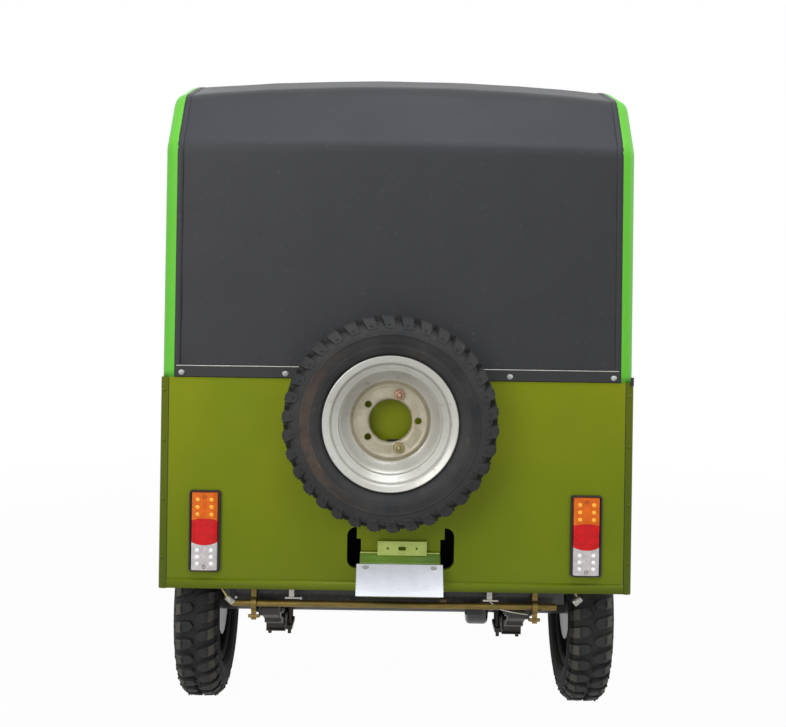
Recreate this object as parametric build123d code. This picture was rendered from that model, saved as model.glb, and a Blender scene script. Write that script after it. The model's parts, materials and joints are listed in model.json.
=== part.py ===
from build123d import *
import math
import os

# Auto rickshaw: a three-wheeled passenger vehicle with a fabric canopy and a rear spare wheel.
# Frame: +X to the vehicle's right, +Y forward, +Z up. The origin lies on the ground, under the
# middle of the overall length and width. Sizes are in millimetres, angles in degrees.

# Driving dimensions
overall_length = 2860.0
body_width = 1216.0
body_bottom = 390.0
body_height = 543.0
panel_wall = 20.0
tyre_diameter = 537.0
tyre_width = 125.0
wheel_inset = 74.0
rear_overhang = 395.0
cut_overrun = 40.0
contact_gap = 0.3
running_gap = 0.08

# Wheel, shared by the three road wheels and the spare
seat_radius = 154.0
flange_radius = 170.0
flange_half_width = 47.0
flange_base_half = 39.0
bead_half = 26.0
well_radius = 136.0
well_half = 16.0
barrel_sheet = 4.0
disc_sheet = 5.0
disc_offset = 42.0
disc_dish_radius = 108.0
disc_crown_radius = 97.0
disc_rise = 7.0
hub_hole_radius = 54.0
stud_circle_radius = 70.0
stud_hole_radius = 8.0
stud_count = 5
# Columns: share of the tyre's half width, share of its section height
sidewall_shares = [(0.72, 0.17), (0.92, 0.30), (1.00, 0.58), (0.93, 0.86), (0.80, 0.97), (0.40, 1.00)]

# Spare wheel and its carrier
carrier_depth = 43.0
spare_stud_x = 5.0
spare_drop = 100.0

# Steering axis
rake_angle = 24.0
fork_offset = 45.0

# Lengths along the body, from the rear panel forward and from the front axle back
quarter_length = 744.0
apex_run = 869.0
crest_run = 350.0
shoulder_run = 118.0
seat_box_length = 410.0
cushion_overhang = 50.0
foot_wall_setback = 361.5
cowl_overlap = 80.0
header_setback = 326.5
driver_seat_length = 310.0
floor_sheet = 12.0
arch_gap = 53.5

# Shares of the cabin's length: where the passenger's seat starts from the rear,
# and where the driver's seat ends from the foot wall
seat_back_share = 0.196
driver_front_share = 0.191

# Places that several pieces share
body_top = body_bottom + body_height
half_width = body_width / 2
inner_half = half_width - panel_wall
tyre_radius = tyre_diameter / 2
spare_reach = carrier_depth + disc_offset + tyre_width / 2
rear_y = spare_reach - overall_length / 2
rear_axle_y = rear_y + rear_overhang
front_axle_y = overall_length / 2 - tyre_radius
rear_wheel_x = half_width - wheel_inset
quarter_front = rear_y + quarter_length
foot_wall_y = front_axle_y - foot_wall_setback
cowl_back = foot_wall_y - cowl_overlap
header_y = front_axle_y - header_setback
cabin_length = foot_wall_y - rear_y
floor_top = body_bottom + floor_sheet
arch_radius = tyre_radius + arch_gap
spare_height = body_top - spare_drop
rake_slope = math.tan(math.radians(rake_angle))
steer_foot_y = front_axle_y - fork_offset * math.cos(math.radians(rake_angle))
steer_foot_z = tyre_radius - fork_offset * math.sin(math.radians(rake_angle))

parts = {}


def steer_y(height):
    """Where the steering axis is at a height."""
    return steer_foot_y - (height - steer_foot_z) * rake_slope


def keep(name, shape):
    """Sets one sub-part aside for writing."""
    parts[name] = shape


def block(x, y, z):
    """A box from (low, high) pairs."""
    middle = [(low + high) / 2 for low, high in (x, y, z)]
    return Pos(*middle) * Box(x[1] - x[0], y[1] - y[0], z[1] - z[0])


def face_at_x(points, x, radii=0):
    """A closed face at one X, from (y, z) corners with rounded corners."""
    path = FilletPolyline(*[(x, y, z) for y, z in points], radius=radii, close=True)
    return make_face(path.edges())


def prism_x(points, x, radii=0):
    """A side profile of (y, z) corners, carried from x low to x high."""
    return extrude(face_at_x(points, x[0], radii), amount=x[1] - x[0], dir=(1, 0, 0))


def prism_y(points, y, radii=0):
    """A front profile of (x, z) corners, carried from y low to y high."""
    path = FilletPolyline(*[(px, y[0], pz) for px, pz in points], radius=radii, close=True)
    return extrude(make_face(path.edges()), amount=y[1] - y[0], dir=(0, 1, 0))


def rounded_prism_y(centre_x, centre_z, width, height, y, corner):
    """A rectangle with rounded corners, seen from behind, carried along Y."""
    x_low, x_high = centre_x - width / 2, centre_x + width / 2
    z_low, z_high = centre_z - height / 2, centre_z + height / 2
    return prism_y([(x_low, z_low), (x_high, z_low), (x_high, z_high), (x_low, z_high)], y, corner)


def tube(points, radius, bend=0.0):
    """A round bar along straight runs joined by bends."""
    path = Line(*points) if len(points) == 2 else FilletPolyline(*points, radius=bend)
    return sweep(Plane(origin=path @ 0, z_dir=path % 0) * Circle(radius), path=path)


def disc_x(x, radius, y, z):
    """A round solid along X, between two X places."""
    return Pos((x[0] + x[1]) / 2, y, z) * Rot(0, 90, 0) * Cylinder(radius, x[1] - x[0])


def disc_y(y, radius, x, z):
    """A round solid along Y, between two Y places."""
    return Pos(x, (y[0] + y[1]) / 2, z) * Rot(90, 0, 0) * Cylinder(radius, y[1] - y[0])


def both_sides(shape):
    """A shape and its mirror image across the middle."""
    return shape + mirror(shape, about=Plane.YZ)


def joined(shapes):
    """One shape from several."""
    whole = shapes[0]
    for shape in shapes[1:]:
        whole = whole + shape
    return whole


def band(points, sheet):
    """Corners of a sheet of even thickness, to the left of a line of points."""
    offset = []
    for i in range(len(points)):
        here = points[i]
        normals = []
        for start, end in ((points[max(i - 1, 0)], here), (here, points[min(i + 1, len(points) - 1)])):
            run = math.dist(start, end)
            if run:
                normals.append(((start[1] - end[1]) / run, (end[0] - start[0]) / run))
        nx = sum(n[0] for n in normals)
        nz = sum(n[1] for n in normals)
        scale = sheet * len(normals) / (nx * nx + nz * nz)
        offset.append((here[0] + nx * scale, here[1] + nz * scale))
    return list(points) + offset[::-1]


def turned(points):
    """A revolve about the X axis of (x, radius) corners."""
    outline = Polyline(*[(x, 0, radius) for x, radius in points], close=True)
    return revolve(make_face(outline.edges()), axis=Axis.X)


# Wheels are built about their own centre, with the deep side of the dish towards +X


def make_tyre():
    section = tyre_radius - seat_radius
    side = [(flange_base_half - contact_gap, seat_radius + contact_gap)]
    side.append((flange_base_half - contact_gap, flange_radius))
    side += [(tyre_width / 2 * w, seat_radius + section * h) for w, h in sidewall_shares]
    return turned(side + [(-x, r) for x, r in reversed(side)])


def make_rim():
    side = [
        (flange_half_width, flange_radius),
        (flange_base_half, seat_radius),
        (bead_half, seat_radius),
        (well_half, well_radius),
    ]
    barrel = turned(band([(-x, r) for x, r in side] + side[::-1], -barrel_sheet))
    disc_line = [
        (-well_half, well_radius - barrel_sheet / 2),
        (-disc_offset, disc_dish_radius),
        (-disc_offset, (disc_dish_radius + disc_crown_radius) / 2),
        (disc_rise - disc_offset, disc_crown_radius - disc_rise),
        (disc_rise - disc_offset, hub_hole_radius),
    ]
    rim = barrel + turned(band(disc_line, disc_sheet))
    for i in range(stud_count):
        hole = Pos(-disc_offset, 0, 0) * Rot(360 / stud_count * i, 0, 0) * Pos(0, stud_circle_radius, 0)
        rim = rim - hole * Rot(0, 90, 0) * Cylinder(stud_hole_radius, cut_overrun)
    return rim


drum_radius = 100.0
drum_depth = 62.0
drum_wall = 9.0
drum_lip = 5.0
drum_lip_depth = 10.0
hub_radius = 40.0
hub_reach = 26.0
hub_cap_radius = 26.0
hub_cap_depth = 10.0
stub_radius = 17.0
wheel_nut_radius = 11.0
wheel_nut_depth = 10.0
drum_face = disc_rise - disc_offset + disc_sheet
drum_mouth = drum_face + drum_depth


def make_drum(cap=True):
    """Brake drum with its hub, seated on the deep side of the disc, its studs through it."""
    disc_back = drum_face - disc_sheet - contact_gap
    drum = disc_x((drum_face, drum_mouth), drum_radius, 0, 0)
    drum = drum + disc_x((drum_mouth - drum_lip_depth, drum_mouth), drum_radius + drum_lip, 0, 0)
    drum = drum - disc_x((drum_face + drum_wall, drum_mouth + cut_overrun), drum_radius - drum_wall, 0, 0)
    drum = drum + disc_x((drum_face - hub_reach, drum_mouth), hub_radius, 0, 0)
    if cap:
        drum = drum + disc_x((drum_face - hub_reach - hub_cap_depth, drum_face), hub_cap_radius, 0, 0)
    drum = drum - disc_x((drum_face, drum_mouth + cut_overrun), stub_radius + running_gap, 0, 0)
    nut = extrude(RegularPolygon(wheel_nut_radius, 6), amount=wheel_nut_depth)
    stem = Cylinder(stud_hole_radius - contact_gap, disc_sheet + contact_gap + drum_wall / 2)
    for i in range(stud_count):
        turn = Rot(360 / stud_count * i, 0, 0)
        stem_x = drum_face - (disc_sheet + contact_gap - drum_wall / 2) / 2
        drum = drum + turn * Pos(stem_x, stud_circle_radius, 0) * Rot(0, 90, 0) * stem
        drum = drum + turn * Pos(disc_back, stud_circle_radius, 0) * Rot(0, -90, 0) * nut
    return drum


def placed(shape, x, y, side):
    """Moves a wheel piece to its axle, with its deep side to the right (1) or left (-1)."""
    return Pos(x, y, tyre_radius) * Rot(0, 0, 90 - 90 * side) * shape


front_hub_radius = 42.0
front_hub_half = 57.0
front_axle_radius = 8.0


def wheels():
    tyre, rim, drum = make_tyre(), make_rim(), make_drum()
    # Columns: name, x, y, side that the deep dish faces
    places = [
        ("rear_left", -rear_wheel_x, rear_axle_y, 1),
        ("rear_right", rear_wheel_x, rear_axle_y, -1),
        ("front", 0, front_axle_y, 1),
    ]
    for name, x, y, side in places:
        keep("tyre_" + name, placed(tyre, x, y, side))
        keep("rim_" + name, placed(rim, x, y, side))
        if name != "front":
            keep("drum_" + name, placed(drum, x, y, side))
    core = disc_x((-front_hub_half, front_hub_half), front_hub_radius, 0, 0)
    bore = (-front_hub_half - cut_overrun, front_hub_half + cut_overrun)
    hub = make_drum(cap=False) + core - disc_x(bore, front_axle_radius + running_gap, 0, 0)
    keep("drum_front", placed(hub, 0, front_axle_y, 1))
    keep("tyre_spare", spare_place() * tyre)
    keep("rim_spare", spare_place() * rim)


def spare_place():
    """The spare hangs with its deep side to the rear, held by two neighbouring studs."""
    spare_x = spare_stud_x - stud_circle_radius * math.cos(math.radians(360 / stud_count))
    return Pos(spare_x, rear_y - carrier_depth - disc_offset, spare_height) * Rot(0, 0, -90)


# Spare wheel carrier: a foot plate on the rear panel with two stand-offs, studs and nuts
foot_plate_width = 60.0
foot_plate_height = 30.0
foot_plate_sheet = 4.0
stand_off_radius = 13.5
stud_radius = 7.0
nut_radius = 13.0
nut_depth = 12.0


def spare_carrier():
    spread = stud_circle_radius * math.sin(math.radians(360 / stud_count))
    disc_face = rear_y - carrier_depth - disc_rise - disc_sheet
    feet, nuts = [], []
    for side in (-1, 1):
        z = spare_height + side * spread
        plate_y = (rear_y - foot_plate_sheet, rear_y)
        size = (foot_plate_width, foot_plate_height)
        feet.append(rounded_prism_y(spare_stud_x, z, *size, plate_y, foot_plate_sheet))
        stand_off_y = (disc_face + disc_sheet + contact_gap, rear_y)
        feet.append(disc_y(stand_off_y, stand_off_radius, spare_stud_x, z))
        feet.append(disc_y((disc_face - nut_depth, rear_y), stud_radius, spare_stud_x, z))
        nut = extrude(RegularPolygon(nut_radius, 6), amount=nut_depth)
        nut = nut - Cylinder(stud_radius + contact_gap, cut_overrun)
        nuts.append(Pos(spare_stud_x, disc_face, z) * Rot(90, 0, 0) * nut)
    keep("spare_carrier", joined(feet))
    keep("spare_nuts", joined(nuts))


# Chassis
rail_inset = 209.0
rail_width = 40.0
rail_height = 45.0
rear_member_gap = 70.0
foot_wall_sheet = 12.0
cross_member_shares = (0.20, 0.42, 0.64, 0.84)
head_radius = 27.0
head_rise = 265.0
head_height = 145.0
stem_radius = 15.0
neck_radius = 22.0
neck_spread = 70.0
neck_run = 62.0
neck_bend = 45.0
rail_low = body_bottom - rail_height
rail_x = rear_wheel_x - rail_inset
head_low = body_bottom + head_rise


def chassis():
    rear_end = rear_y + rear_member_gap
    front_end = foot_wall_y - panel_wall
    z = (rail_low, body_bottom)
    rail = block((rail_x - rail_width / 2, rail_x + rail_width / 2), (rear_end, front_end), z)
    member_half = rail_x + rail_width / 2
    pieces = [both_sides(rail)]
    for share in cross_member_shares:
        y = rear_end + (front_end - rear_end) * share
        pieces.append(block((-member_half, member_half), (y, y + rail_width), z))
    for half, y in ((tub_inner, rear_end), (inner_half, front_end - rail_width)):
        pieces.append(block((contact_gap - half, half - contact_gap), (y, y + rail_width), z))
    head_mid = head_low + head_height / 2
    head_length = head_height / math.cos(math.radians(rake_angle))
    head_place = Plane(origin=(0, steer_y(head_mid), head_mid), z_dir=(0, -rake_slope, 1))
    start_z = body_bottom - neck_radius - contact_gap
    neck = tube(
        [
            (neck_spread, front_end - rail_width / 2, start_z),
            (neck_spread, front_end + neck_run, start_z),
            (0, steer_y(head_mid), head_mid),
        ],
        neck_radius,
        bend=neck_bend,
    )
    pieces.append(both_sides(neck))
    pieces.append(head_place * Cylinder(head_radius, head_length))
    pieces.append(both_sides(spring_hangers()))
    bore = head_place * Cylinder(stem_radius + running_gap, head_length + cut_overrun)
    keep("chassis_frame", joined(pieces) - bore)


sill_height = 46.0


def floor_and_sills():
    z = (body_bottom, floor_top)
    inner = inner_half - contact_gap
    tub = tub_inner - contact_gap
    floor = block((-inner, inner), (arch_front, foot_wall_y), z)
    keep("floor_pan", floor + block((-tub, tub), (rear_y + panel_wall, arch_front), z))
    sill_z = (floor_top - sill_height, floor_top)
    keep("sills", both_sides(block((inner_half, half_width), (quarter_front, cowl_back), sill_z)))


# Rear quarter panels and wheel tubs
quarter_round = 60.0
corner_round = 12.0
tub_clearance = 26.0
tub_sheet = 5.0
swage_height = 16.0
swage_depth = 4.0
swage_drop = 120.0
tub_inner = rear_wheel_x - tyre_width / 2 - tub_clearance
arch_front = rear_axle_y + arch_radius


def quarter_panels():
    outline = [
        (rear_y, body_bottom),
        (quarter_front, body_bottom),
        (quarter_front, body_top),
        (rear_y, body_top),
    ]
    panel = prism_x(outline, (inner_half, half_width), [0, 0, quarter_round / 2, 0])
    rear_edges = panel.edges().filter_by(Axis.Z).group_by(Axis.Y)[0]
    panel = fillet(rear_edges.sort_by(Axis.X)[-1], corner_round)
    through = (inner_half - cut_overrun, half_width + cut_overrun)
    panel = panel - disc_x(through, arch_radius, rear_axle_y, tyre_radius)
    # A pressed groove runs along the outside under the top edge
    groove_low = body_top - swage_drop
    groove = block(
        (half_width - swage_depth, half_width + cut_overrun),
        (rear_y + quarter_round, quarter_front - quarter_round),
        (groove_low, groove_low + swage_height),
    )
    keep("quarter_panels", both_sides(panel - groove))
    outer = disc_x((tub_inner, inner_half), arch_radius, rear_axle_y, tyre_radius)
    hollow = disc_x((tub_inner + tub_sheet, half_width), arch_radius - tub_sheet, rear_axle_y, tyre_radius)
    below_y = (rear_axle_y - tyre_diameter, rear_axle_y + tyre_diameter)
    below = block((0, half_width), below_y, (-tyre_radius, body_bottom))
    keep("wheel_tubs", both_sides(outer - hollow - below))


# Rear panel with its lamp cut-outs and the recess of the plate bracket
lamp_inset = 119.0
lamp_rise = 150.0
lamp_width = 80.0
lamp_height = 208.0
lamp_corner = 7.0
lamp_reach = 9.0
bezel_edge = 4.5
lens_bow = 5.0
lens_gap = 0.3
amber_share = 0.36
red_share = 0.34
recess_x = 14.0
recess_rise = 111.0
recess_width = 275.0
recess_height = 106.0
recess_corner = 23.0
lip_height = 22.0
lip_step = 5.0
lamp_x = half_width - lamp_inset
lamp_z = body_bottom + lamp_rise
recess_z = body_bottom + recess_rise


def rear_panel():
    panel = block((-inner_half, inner_half), (rear_y, rear_y + panel_wall), (body_bottom, body_top))
    through = (rear_y - cut_overrun, rear_y + panel_wall + cut_overrun)
    for side in (-1, 1):
        size = (lamp_width, lamp_height)
        panel = panel - rounded_prism_y(side * lamp_x, lamp_z, *size, through, lamp_corner)
    panel = panel - rounded_prism_y(recess_x, recess_z, recess_width, recess_height, through, recess_corner)
    # The bottom edge steps in where the sheet is folded under
    step_z = (body_bottom - cut_overrun, body_bottom + lip_height)
    step_y = (rear_y - cut_overrun, rear_y + lip_step)
    keep("rear_panel", panel - block((-inner_half, inner_half), step_y, step_z))


def tail_lamps():
    """Each cluster is a black bezel with three lens blocks: amber, red and clear."""
    front = rear_y - lamp_reach
    width, height = lamp_width - lens_gap, lamp_height - lens_gap
    bezel = rounded_prism_y(lamp_x, lamp_z, width, height, (front, rear_y + panel_wall), lamp_corner)
    width, height = width - 2 * bezel_edge, height - 2 * bezel_edge
    corner = lamp_corner - bezel_edge
    bezel = bezel - rounded_prism_y(lamp_x, lamp_z, width, height, (front - cut_overrun, rear_y), corner)
    keep("tail_lamp_bezels", both_sides(bezel))
    top = lamp_z + height / 2
    amber_low = top - height * amber_share
    red_low = amber_low - height * red_share
    lens_y = (front - lens_bow, rear_y - lens_gap)
    lens = rounded_prism_y(lamp_x, lamp_z, width - lens_gap, height - lens_gap, lens_y, corner)
    rows = [("amber", amber_low, top), ("red", red_low, amber_low), ("clear", top - height, red_low)]
    for name, low, high in rows:
        zone_z = (low + lens_gap / 2, high - lens_gap / 2)
        zone = block((lamp_x - lamp_width, lamp_x + lamp_width), (front - cut_overrun, rear_y), zone_z)
        keep("tail_lens_" + name, both_sides(lens & zone))


# Plate bracket, plate and the bare tab for its lamp
bracket_x = 14.0
bracket_width = 226.0
bracket_waist = 204.0
bracket_sheet = 3.0
bracket_inset = 6.0
bracket_flange = 22.0
bracket_bend_drop = 8.0
bracket_tilt = 42.0
plate_x = 12.0
plate_width = 220.0
plate_height = 90.0
plate_sheet = 1.5
plate_drop = 40.0
tab_x = 18.0
tab_rise = 1.0
tab_width = 126.0
tab_height = 36.0
tab_stand = 14.0
tab_sheet = 3.0
tab_hole_spacing = 74.0
tab_hole_radius = 2.75
tab_slot_width = 20.0
tab_slot_height = 10.0
tab_foot_width = 26.0
tab_foot_spacing = 76.0
bracket_bend_z = recess_z - bracket_bend_drop
tab_z = recess_z + tab_rise


def plate_bracket():
    tilt = math.radians(bracket_tilt)
    face = rear_y + bracket_inset
    top = recess_z + recess_height / 2 - contact_gap
    back = rear_y + panel_wall + bracket_sheet + contact_gap
    slope = plate_drop + plate_height
    foot_y = face - slope * math.sin(tilt)
    foot_z = bracket_bend_z - slope * math.cos(tilt)
    upper = [(face, top), (back, top), (back, top + bracket_flange)]
    line = [(foot_y, foot_z), (face, bracket_bend_z), *upper]
    x = (bracket_x - bracket_width / 2, bracket_x + bracket_width / 2)
    sheet = prism_x(band(line, -bracket_sheet), x)
    step_z = (bracket_bend_z + top) / 2
    waist = (bracket_x - bracket_waist / 2, bracket_x + bracket_waist / 2)
    for side in ((x[0] - cut_overrun, waist[0]), (waist[1], x[1] + cut_overrun)):
        step = ((foot_y - cut_overrun, rear_y + panel_wall), (foot_z - cut_overrun, step_z))
        sheet = sheet - block(side, *step)
    keep("plate_bracket", sheet)
    place = Pos(plate_x, face, bracket_bend_z) * Rot(-bracket_tilt, 0, 0)
    plate = Box(plate_width, plate_sheet, plate_height)
    seat = Pos(0, -plate_sheet / 2 - contact_gap, -plate_drop - plate_height / 2)
    keep("number_plate", place * seat * plate)
    tab_y = face - tab_stand
    tab_low = tab_z - tab_height / 2
    tab_side = (tab_x - tab_width / 2, tab_x + tab_width / 2)
    tab = block(tab_side, (tab_y, tab_y + tab_sheet), (tab_low, tab_low + tab_height))
    for side in (-1, 1):
        x_mid = tab_x + side * tab_foot_spacing / 2
        foot_x = (x_mid - tab_foot_width / 2, x_mid + tab_foot_width / 2)
        tab = tab + block(foot_x, (tab_y, face), (tab_low, tab_low + tab_sheet))
        hole_x = tab_x + side * tab_hole_spacing / 2
        tab = tab - disc_y((tab_y - cut_overrun, face), tab_hole_radius, hole_x, tab_z)
    slot_y = (tab_y - cut_overrun, face)
    slot_size = (tab_slot_width, tab_slot_height)
    tab = tab - rounded_prism_y(tab_x, tab_z, *slot_size, slot_y, tab_slot_height / 2 - contact_gap)
    behind = [(y - contact_gap, z) for y, z in line[:3]] + [(back, top), (back, foot_z)]
    keep("plate_lamp_tab", tab - prism_x(behind, (tab_x - tab_width, tab_x + tab_width)))


# Canopy: a black top and rear curtain between two green side fabrics
canopy_inset = 2.0
canopy_round = 30.0
fabric = 5.0
rear_lean = 8.0
curtain_height = 600.0
shoulder_rise = 141.0
slope_rise = 62.0
roof_rise = 16.0
header_fall = 52.0
crown_rise = 30.0
bend_crown = 10.0
bend_round = 40.0
shoulder_round = 60.0
crest_round = 400.0
apex_round = 900.0
valance_depth = 140.0
valance_round = 90.0
header_depth = 24.0
header_drop = 38.0
canopy_half = half_width - canopy_inset
seam_x = canopy_half - canopy_round
bend_height = body_top + curtain_height
shoulder_height = bend_height + shoulder_rise
crest_height = shoulder_height + slope_rise
apex_height = crest_height + roof_rise
header_height = apex_height - header_fall
header_low = header_height - header_drop
valance_bottom = header_height - valance_depth


def canopy_face(x, crown, inset=0.0, reach=0.0):
    """Side outline of the fabric at one X, raised by a share of the crown."""
    rear = rear_y + inset
    front = header_y + reach
    base = body_top + contact_gap - reach
    corners = [
        (rear, base),
        (rear + rear_lean, bend_height + bend_crown * crown - inset),
        (rear_y + shoulder_run + inset / 2, shoulder_height + crown_rise * crown - inset),
        (rear_y + crest_run, crest_height + crown_rise * crown - inset),
        (rear_y + apex_run, apex_height + crown_rise * crown - inset),
        (front, header_height + crown_rise * crown - inset),
        (front, base),
    ]
    radii = [bend_round, shoulder_round, crest_round, apex_round]
    return face_at_x(corners, x, [0] + [radius - inset for radius in radii] + [0, 0])


def canopy_middle(inset=0.0, reach=0.0):
    """The crowned middle of the canopy as a solid."""
    return loft([canopy_face(x, crown, inset, reach) for x, crown in ((-seam_x, 0), (0, 1), (seam_x, 0))])


def canopy_edge(inset=0.0, reach=0.0):
    """The right edge of the canopy as a solid with its corner rounded."""
    start = seam_x - reach
    edge = extrude(canopy_face(start, 0, inset, reach), amount=canopy_half - inset - start, dir=(1, 0, 0))
    rim = edge.faces().sort_by(Axis.X)[-1].edges()
    rim = [e for e in rim if e.center().Z > body_top + fabric and e.center().Y < header_y - fabric]
    return fillet(rim, canopy_round - inset - contact_gap)


def canopy():
    inner = canopy_middle(fabric, cut_overrun)
    sheet = canopy_middle() - inner
    lower = block((-half_width, half_width), (rear_y - cut_overrun, rear_y + crest_run), (0, bend_height))
    keep("canopy_rear_curtain", sheet & lower)
    keep("canopy_roof", sheet - lower)
    doorway = prism_x(
        [
            (quarter_front, 0),
            (header_y + cut_overrun, 0),
            (header_y + cut_overrun, valance_bottom),
            (quarter_front, valance_bottom),
        ],
        (0, half_width),
        [0, 0, 0, valance_round],
    )
    keep("canopy_sides", both_sides(canopy_edge() - canopy_edge(fabric, cut_overrun) - doorway))
    # The front header fills the crown between the roof and the windscreen
    header = block((-seam_x, seam_x), (header_y - header_depth, header_y), (header_low, apex_height * 2))
    under = canopy_middle(fabric + contact_gap, cut_overrun)
    keep("canopy_header", header & under)


# Clamp strip that holds the foot of the rear curtain
strip_height = 27.0
strip_sheet = 4.0
strip_inset = 36.0
strip_lift = 2.0
strip_screw_margin = 18.0
strip_screw_radius = 6.0
strip_screw_reach = 3.0
# Places of the screws, as shares of the strip's half length
strip_screw_shares = (-1.0, -0.52, 0.52, 1.0)
strip_half = half_width - strip_inset


def clamp_strip():
    y = (rear_y - strip_sheet, rear_y - contact_gap)
    z = (body_top + strip_lift, body_top + strip_lift + strip_height)
    pieces = [block((-strip_half, strip_half), y, z)]
    screw_y = (y[0] - strip_screw_reach, y[0])
    screw_z = (z[0] + z[1]) / 2
    for share in strip_screw_shares:
        x = (strip_half - strip_screw_margin) * share
        pieces.append(disc_y(screw_y, strip_screw_radius, x, screw_z))
    keep("curtain_clamp_strip", joined(pieces))


# Canopy hoops: tubes inside the fabric
hoop_radius = 11.0
hoop_rail_radius = 9.0
hoop_gap = 2.0
hoop_bend = 55.0
mid_bow_share = 0.58
rail_end_gap = 50.0
hoop_rail_bend = 60.0


def roof_height(y):
    """Height of the fabric's outer face at the seam, without its crown."""
    places = [
        (rear_y + rear_lean, bend_height),
        (rear_y + shoulder_run, shoulder_height),
        (rear_y + crest_run, crest_height),
        (rear_y + apex_run, apex_height),
        (header_y, header_height),
    ]
    for (y0, z0), (y1, z1) in zip(places, places[1:]):
        if y <= y1:
            break
    return z0 + (z1 - z0) * (y - y0) / (y1 - y0)


def canopy_frame():
    x = canopy_half - fabric - hoop_gap - hoop_radius
    drop = fabric + hoop_gap + hoop_radius + canopy_round / 2
    rail_drop = drop + hoop_bend
    foot = body_top + contact_gap
    rear_hoop_y = rear_y + rear_lean + canopy_round
    pieces = []
    for y in (rear_hoop_y, quarter_front - hoop_radius - hoop_gap):
        top = roof_height(y) - drop
        line = [(-x, y, foot), (-x, y, top), (x, y, top), (x, y, foot)]
        pieces.append(tube(line, hoop_radius, bend=hoop_bend))
    runs = (shoulder_run, crest_run, apex_run)
    rail_y = [rear_hoop_y, *[rear_y + run for run in runs], header_y - rail_end_gap]
    rail = tube([(x, y, roof_height(y) - rail_drop) for y in rail_y], hoop_rail_radius, bend=hoop_rail_bend)
    pieces.append(both_sides(rail))
    mid_bow_y = rear_y + (header_y - rear_y) * mid_bow_share
    for y in (rear_y + crest_run, mid_bow_y):
        low, top = roof_height(y) - rail_drop, roof_height(y) - drop
        bend = hoop_bend - hoop_radius
        pieces.append(tube([(-x, y, low), (-x, y, top), (x, y, top), (x, y, low)], hoop_radius, bend=bend))
    keep("canopy_frame", joined(pieces))


# Windscreen: a glazed frame that leans back, with its wiper
cowl_rise = 42.0
cowl_wall = 12.0
screen_setback = 139.0
screen_top_inset = 48.0
screen_foot_inset = 76.0
screen_lean = 15.0
screen_frame_width = 34.0
screen_frame_depth = 26.0
screen_corner = 60.0
glass_sheet = 5.0
wiper_pivot_x = 150.0
wiper_radius = 5.0
wiper_length = 330.0
wiper_angle = 62.0
wiper_pivot_radius = 12.0
wiper_stand = 12.0
cowl_top = body_top + cowl_rise


def windscreen():
    lean = math.radians(screen_lean)
    foot_y = front_axle_y - screen_setback
    foot_z = cowl_top + screen_frame_depth / 2 * math.sin(lean) + contact_gap
    length = (header_low - contact_gap - foot_z) / math.cos(lean) - screen_frame_depth / 2 * math.tan(lean)
    plane = Plane(origin=(0, foot_y, foot_z), x_dir=(-1, 0, 0), z_dir=(0, math.cos(lean), math.sin(lean)))

    def panel(shrink, depth, corner):
        foot = half_width - screen_foot_inset - shrink
        top = half_width - screen_top_inset - shrink
        points = [(-foot, shrink), (foot, shrink), (top, length - shrink), (-top, length - shrink)]
        path = plane * FilletPolyline(*points, radius=corner, close=True)
        return extrude(make_face(path.edges()), amount=depth / 2, both=True)

    inner_corner = screen_corner - screen_frame_width / 2
    frame = panel(0, screen_frame_depth, screen_corner)
    frame = frame - panel(screen_frame_width, screen_frame_depth + cut_overrun, inner_corner)
    # The wiper's arm runs from a pivot in the lower rail, clear of the glass
    turn = math.radians(wiper_angle)
    lift = screen_frame_depth / 2 + wiper_stand
    foot = (wiper_pivot_x, screen_frame_width / 2, lift)
    tip = (foot[0] - wiper_length * math.cos(turn), foot[1] + wiper_length * math.sin(turn), lift)
    pivot = Pos(foot[0], foot[1], lift / 2) * Cylinder(wiper_pivot_radius, lift + wiper_radius)
    frame = frame + plane * pivot + plane * tube([foot, tip], wiper_radius)
    keep("windscreen_frame", frame)
    keep("windscreen_glass", panel(screen_frame_width + contact_gap, glass_sheet, inner_corner))


# Nose cowl: a shell lofted between plan sections that narrow towards the nose
cowl_length = 625.0
cowl_waist_rise = 238.0
cowl_inset = 4.0
cowl_shoulder_corner = 120.0
cowl_nose_corner = 140.0
arch_lead = 15.0
arch_rise = 75.0
arch_corner = 80.0
opening_edge = 72.0
dash_setback = 62.0
cowl_floor = floor_top
cowl_waist = cowl_floor + cowl_waist_rise
cowl_half = half_width - cowl_inset
# Columns, as shares of the cowl's length and half width:
# how far forward the shoulder is, its half width, how far forward the nose is, its half width
cowl_shares = [
    (0.19, 0.960, 0.98, 0.41),
    (0.22, 0.945, 1.00, 0.39),
    (0.34, 0.925, 0.64, 0.55),
]


def cowl_section(height, shares, inset=0.0, reach=0.0):
    shoulder_run, shoulder_share, nose_run, nose_share = shares
    back = cowl_back - reach
    shoulder = (cowl_half * shoulder_share - inset, cowl_back + cowl_length * shoulder_run - inset / 2)
    nose = (cowl_half * nose_share - inset / 2, cowl_back + cowl_length * nose_run - inset)
    right = [(cowl_half - inset, back), shoulder, nose]
    corners = right + [(-x, y) for x, y in reversed(right)]
    radii = [0, cowl_shoulder_corner, cowl_nose_corner, cowl_nose_corner, cowl_shoulder_corner, 0]
    path = FilletPolyline(*[(x, y, height) for x, y in corners], radius=radii, close=True)
    return make_face(path.edges())


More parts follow.
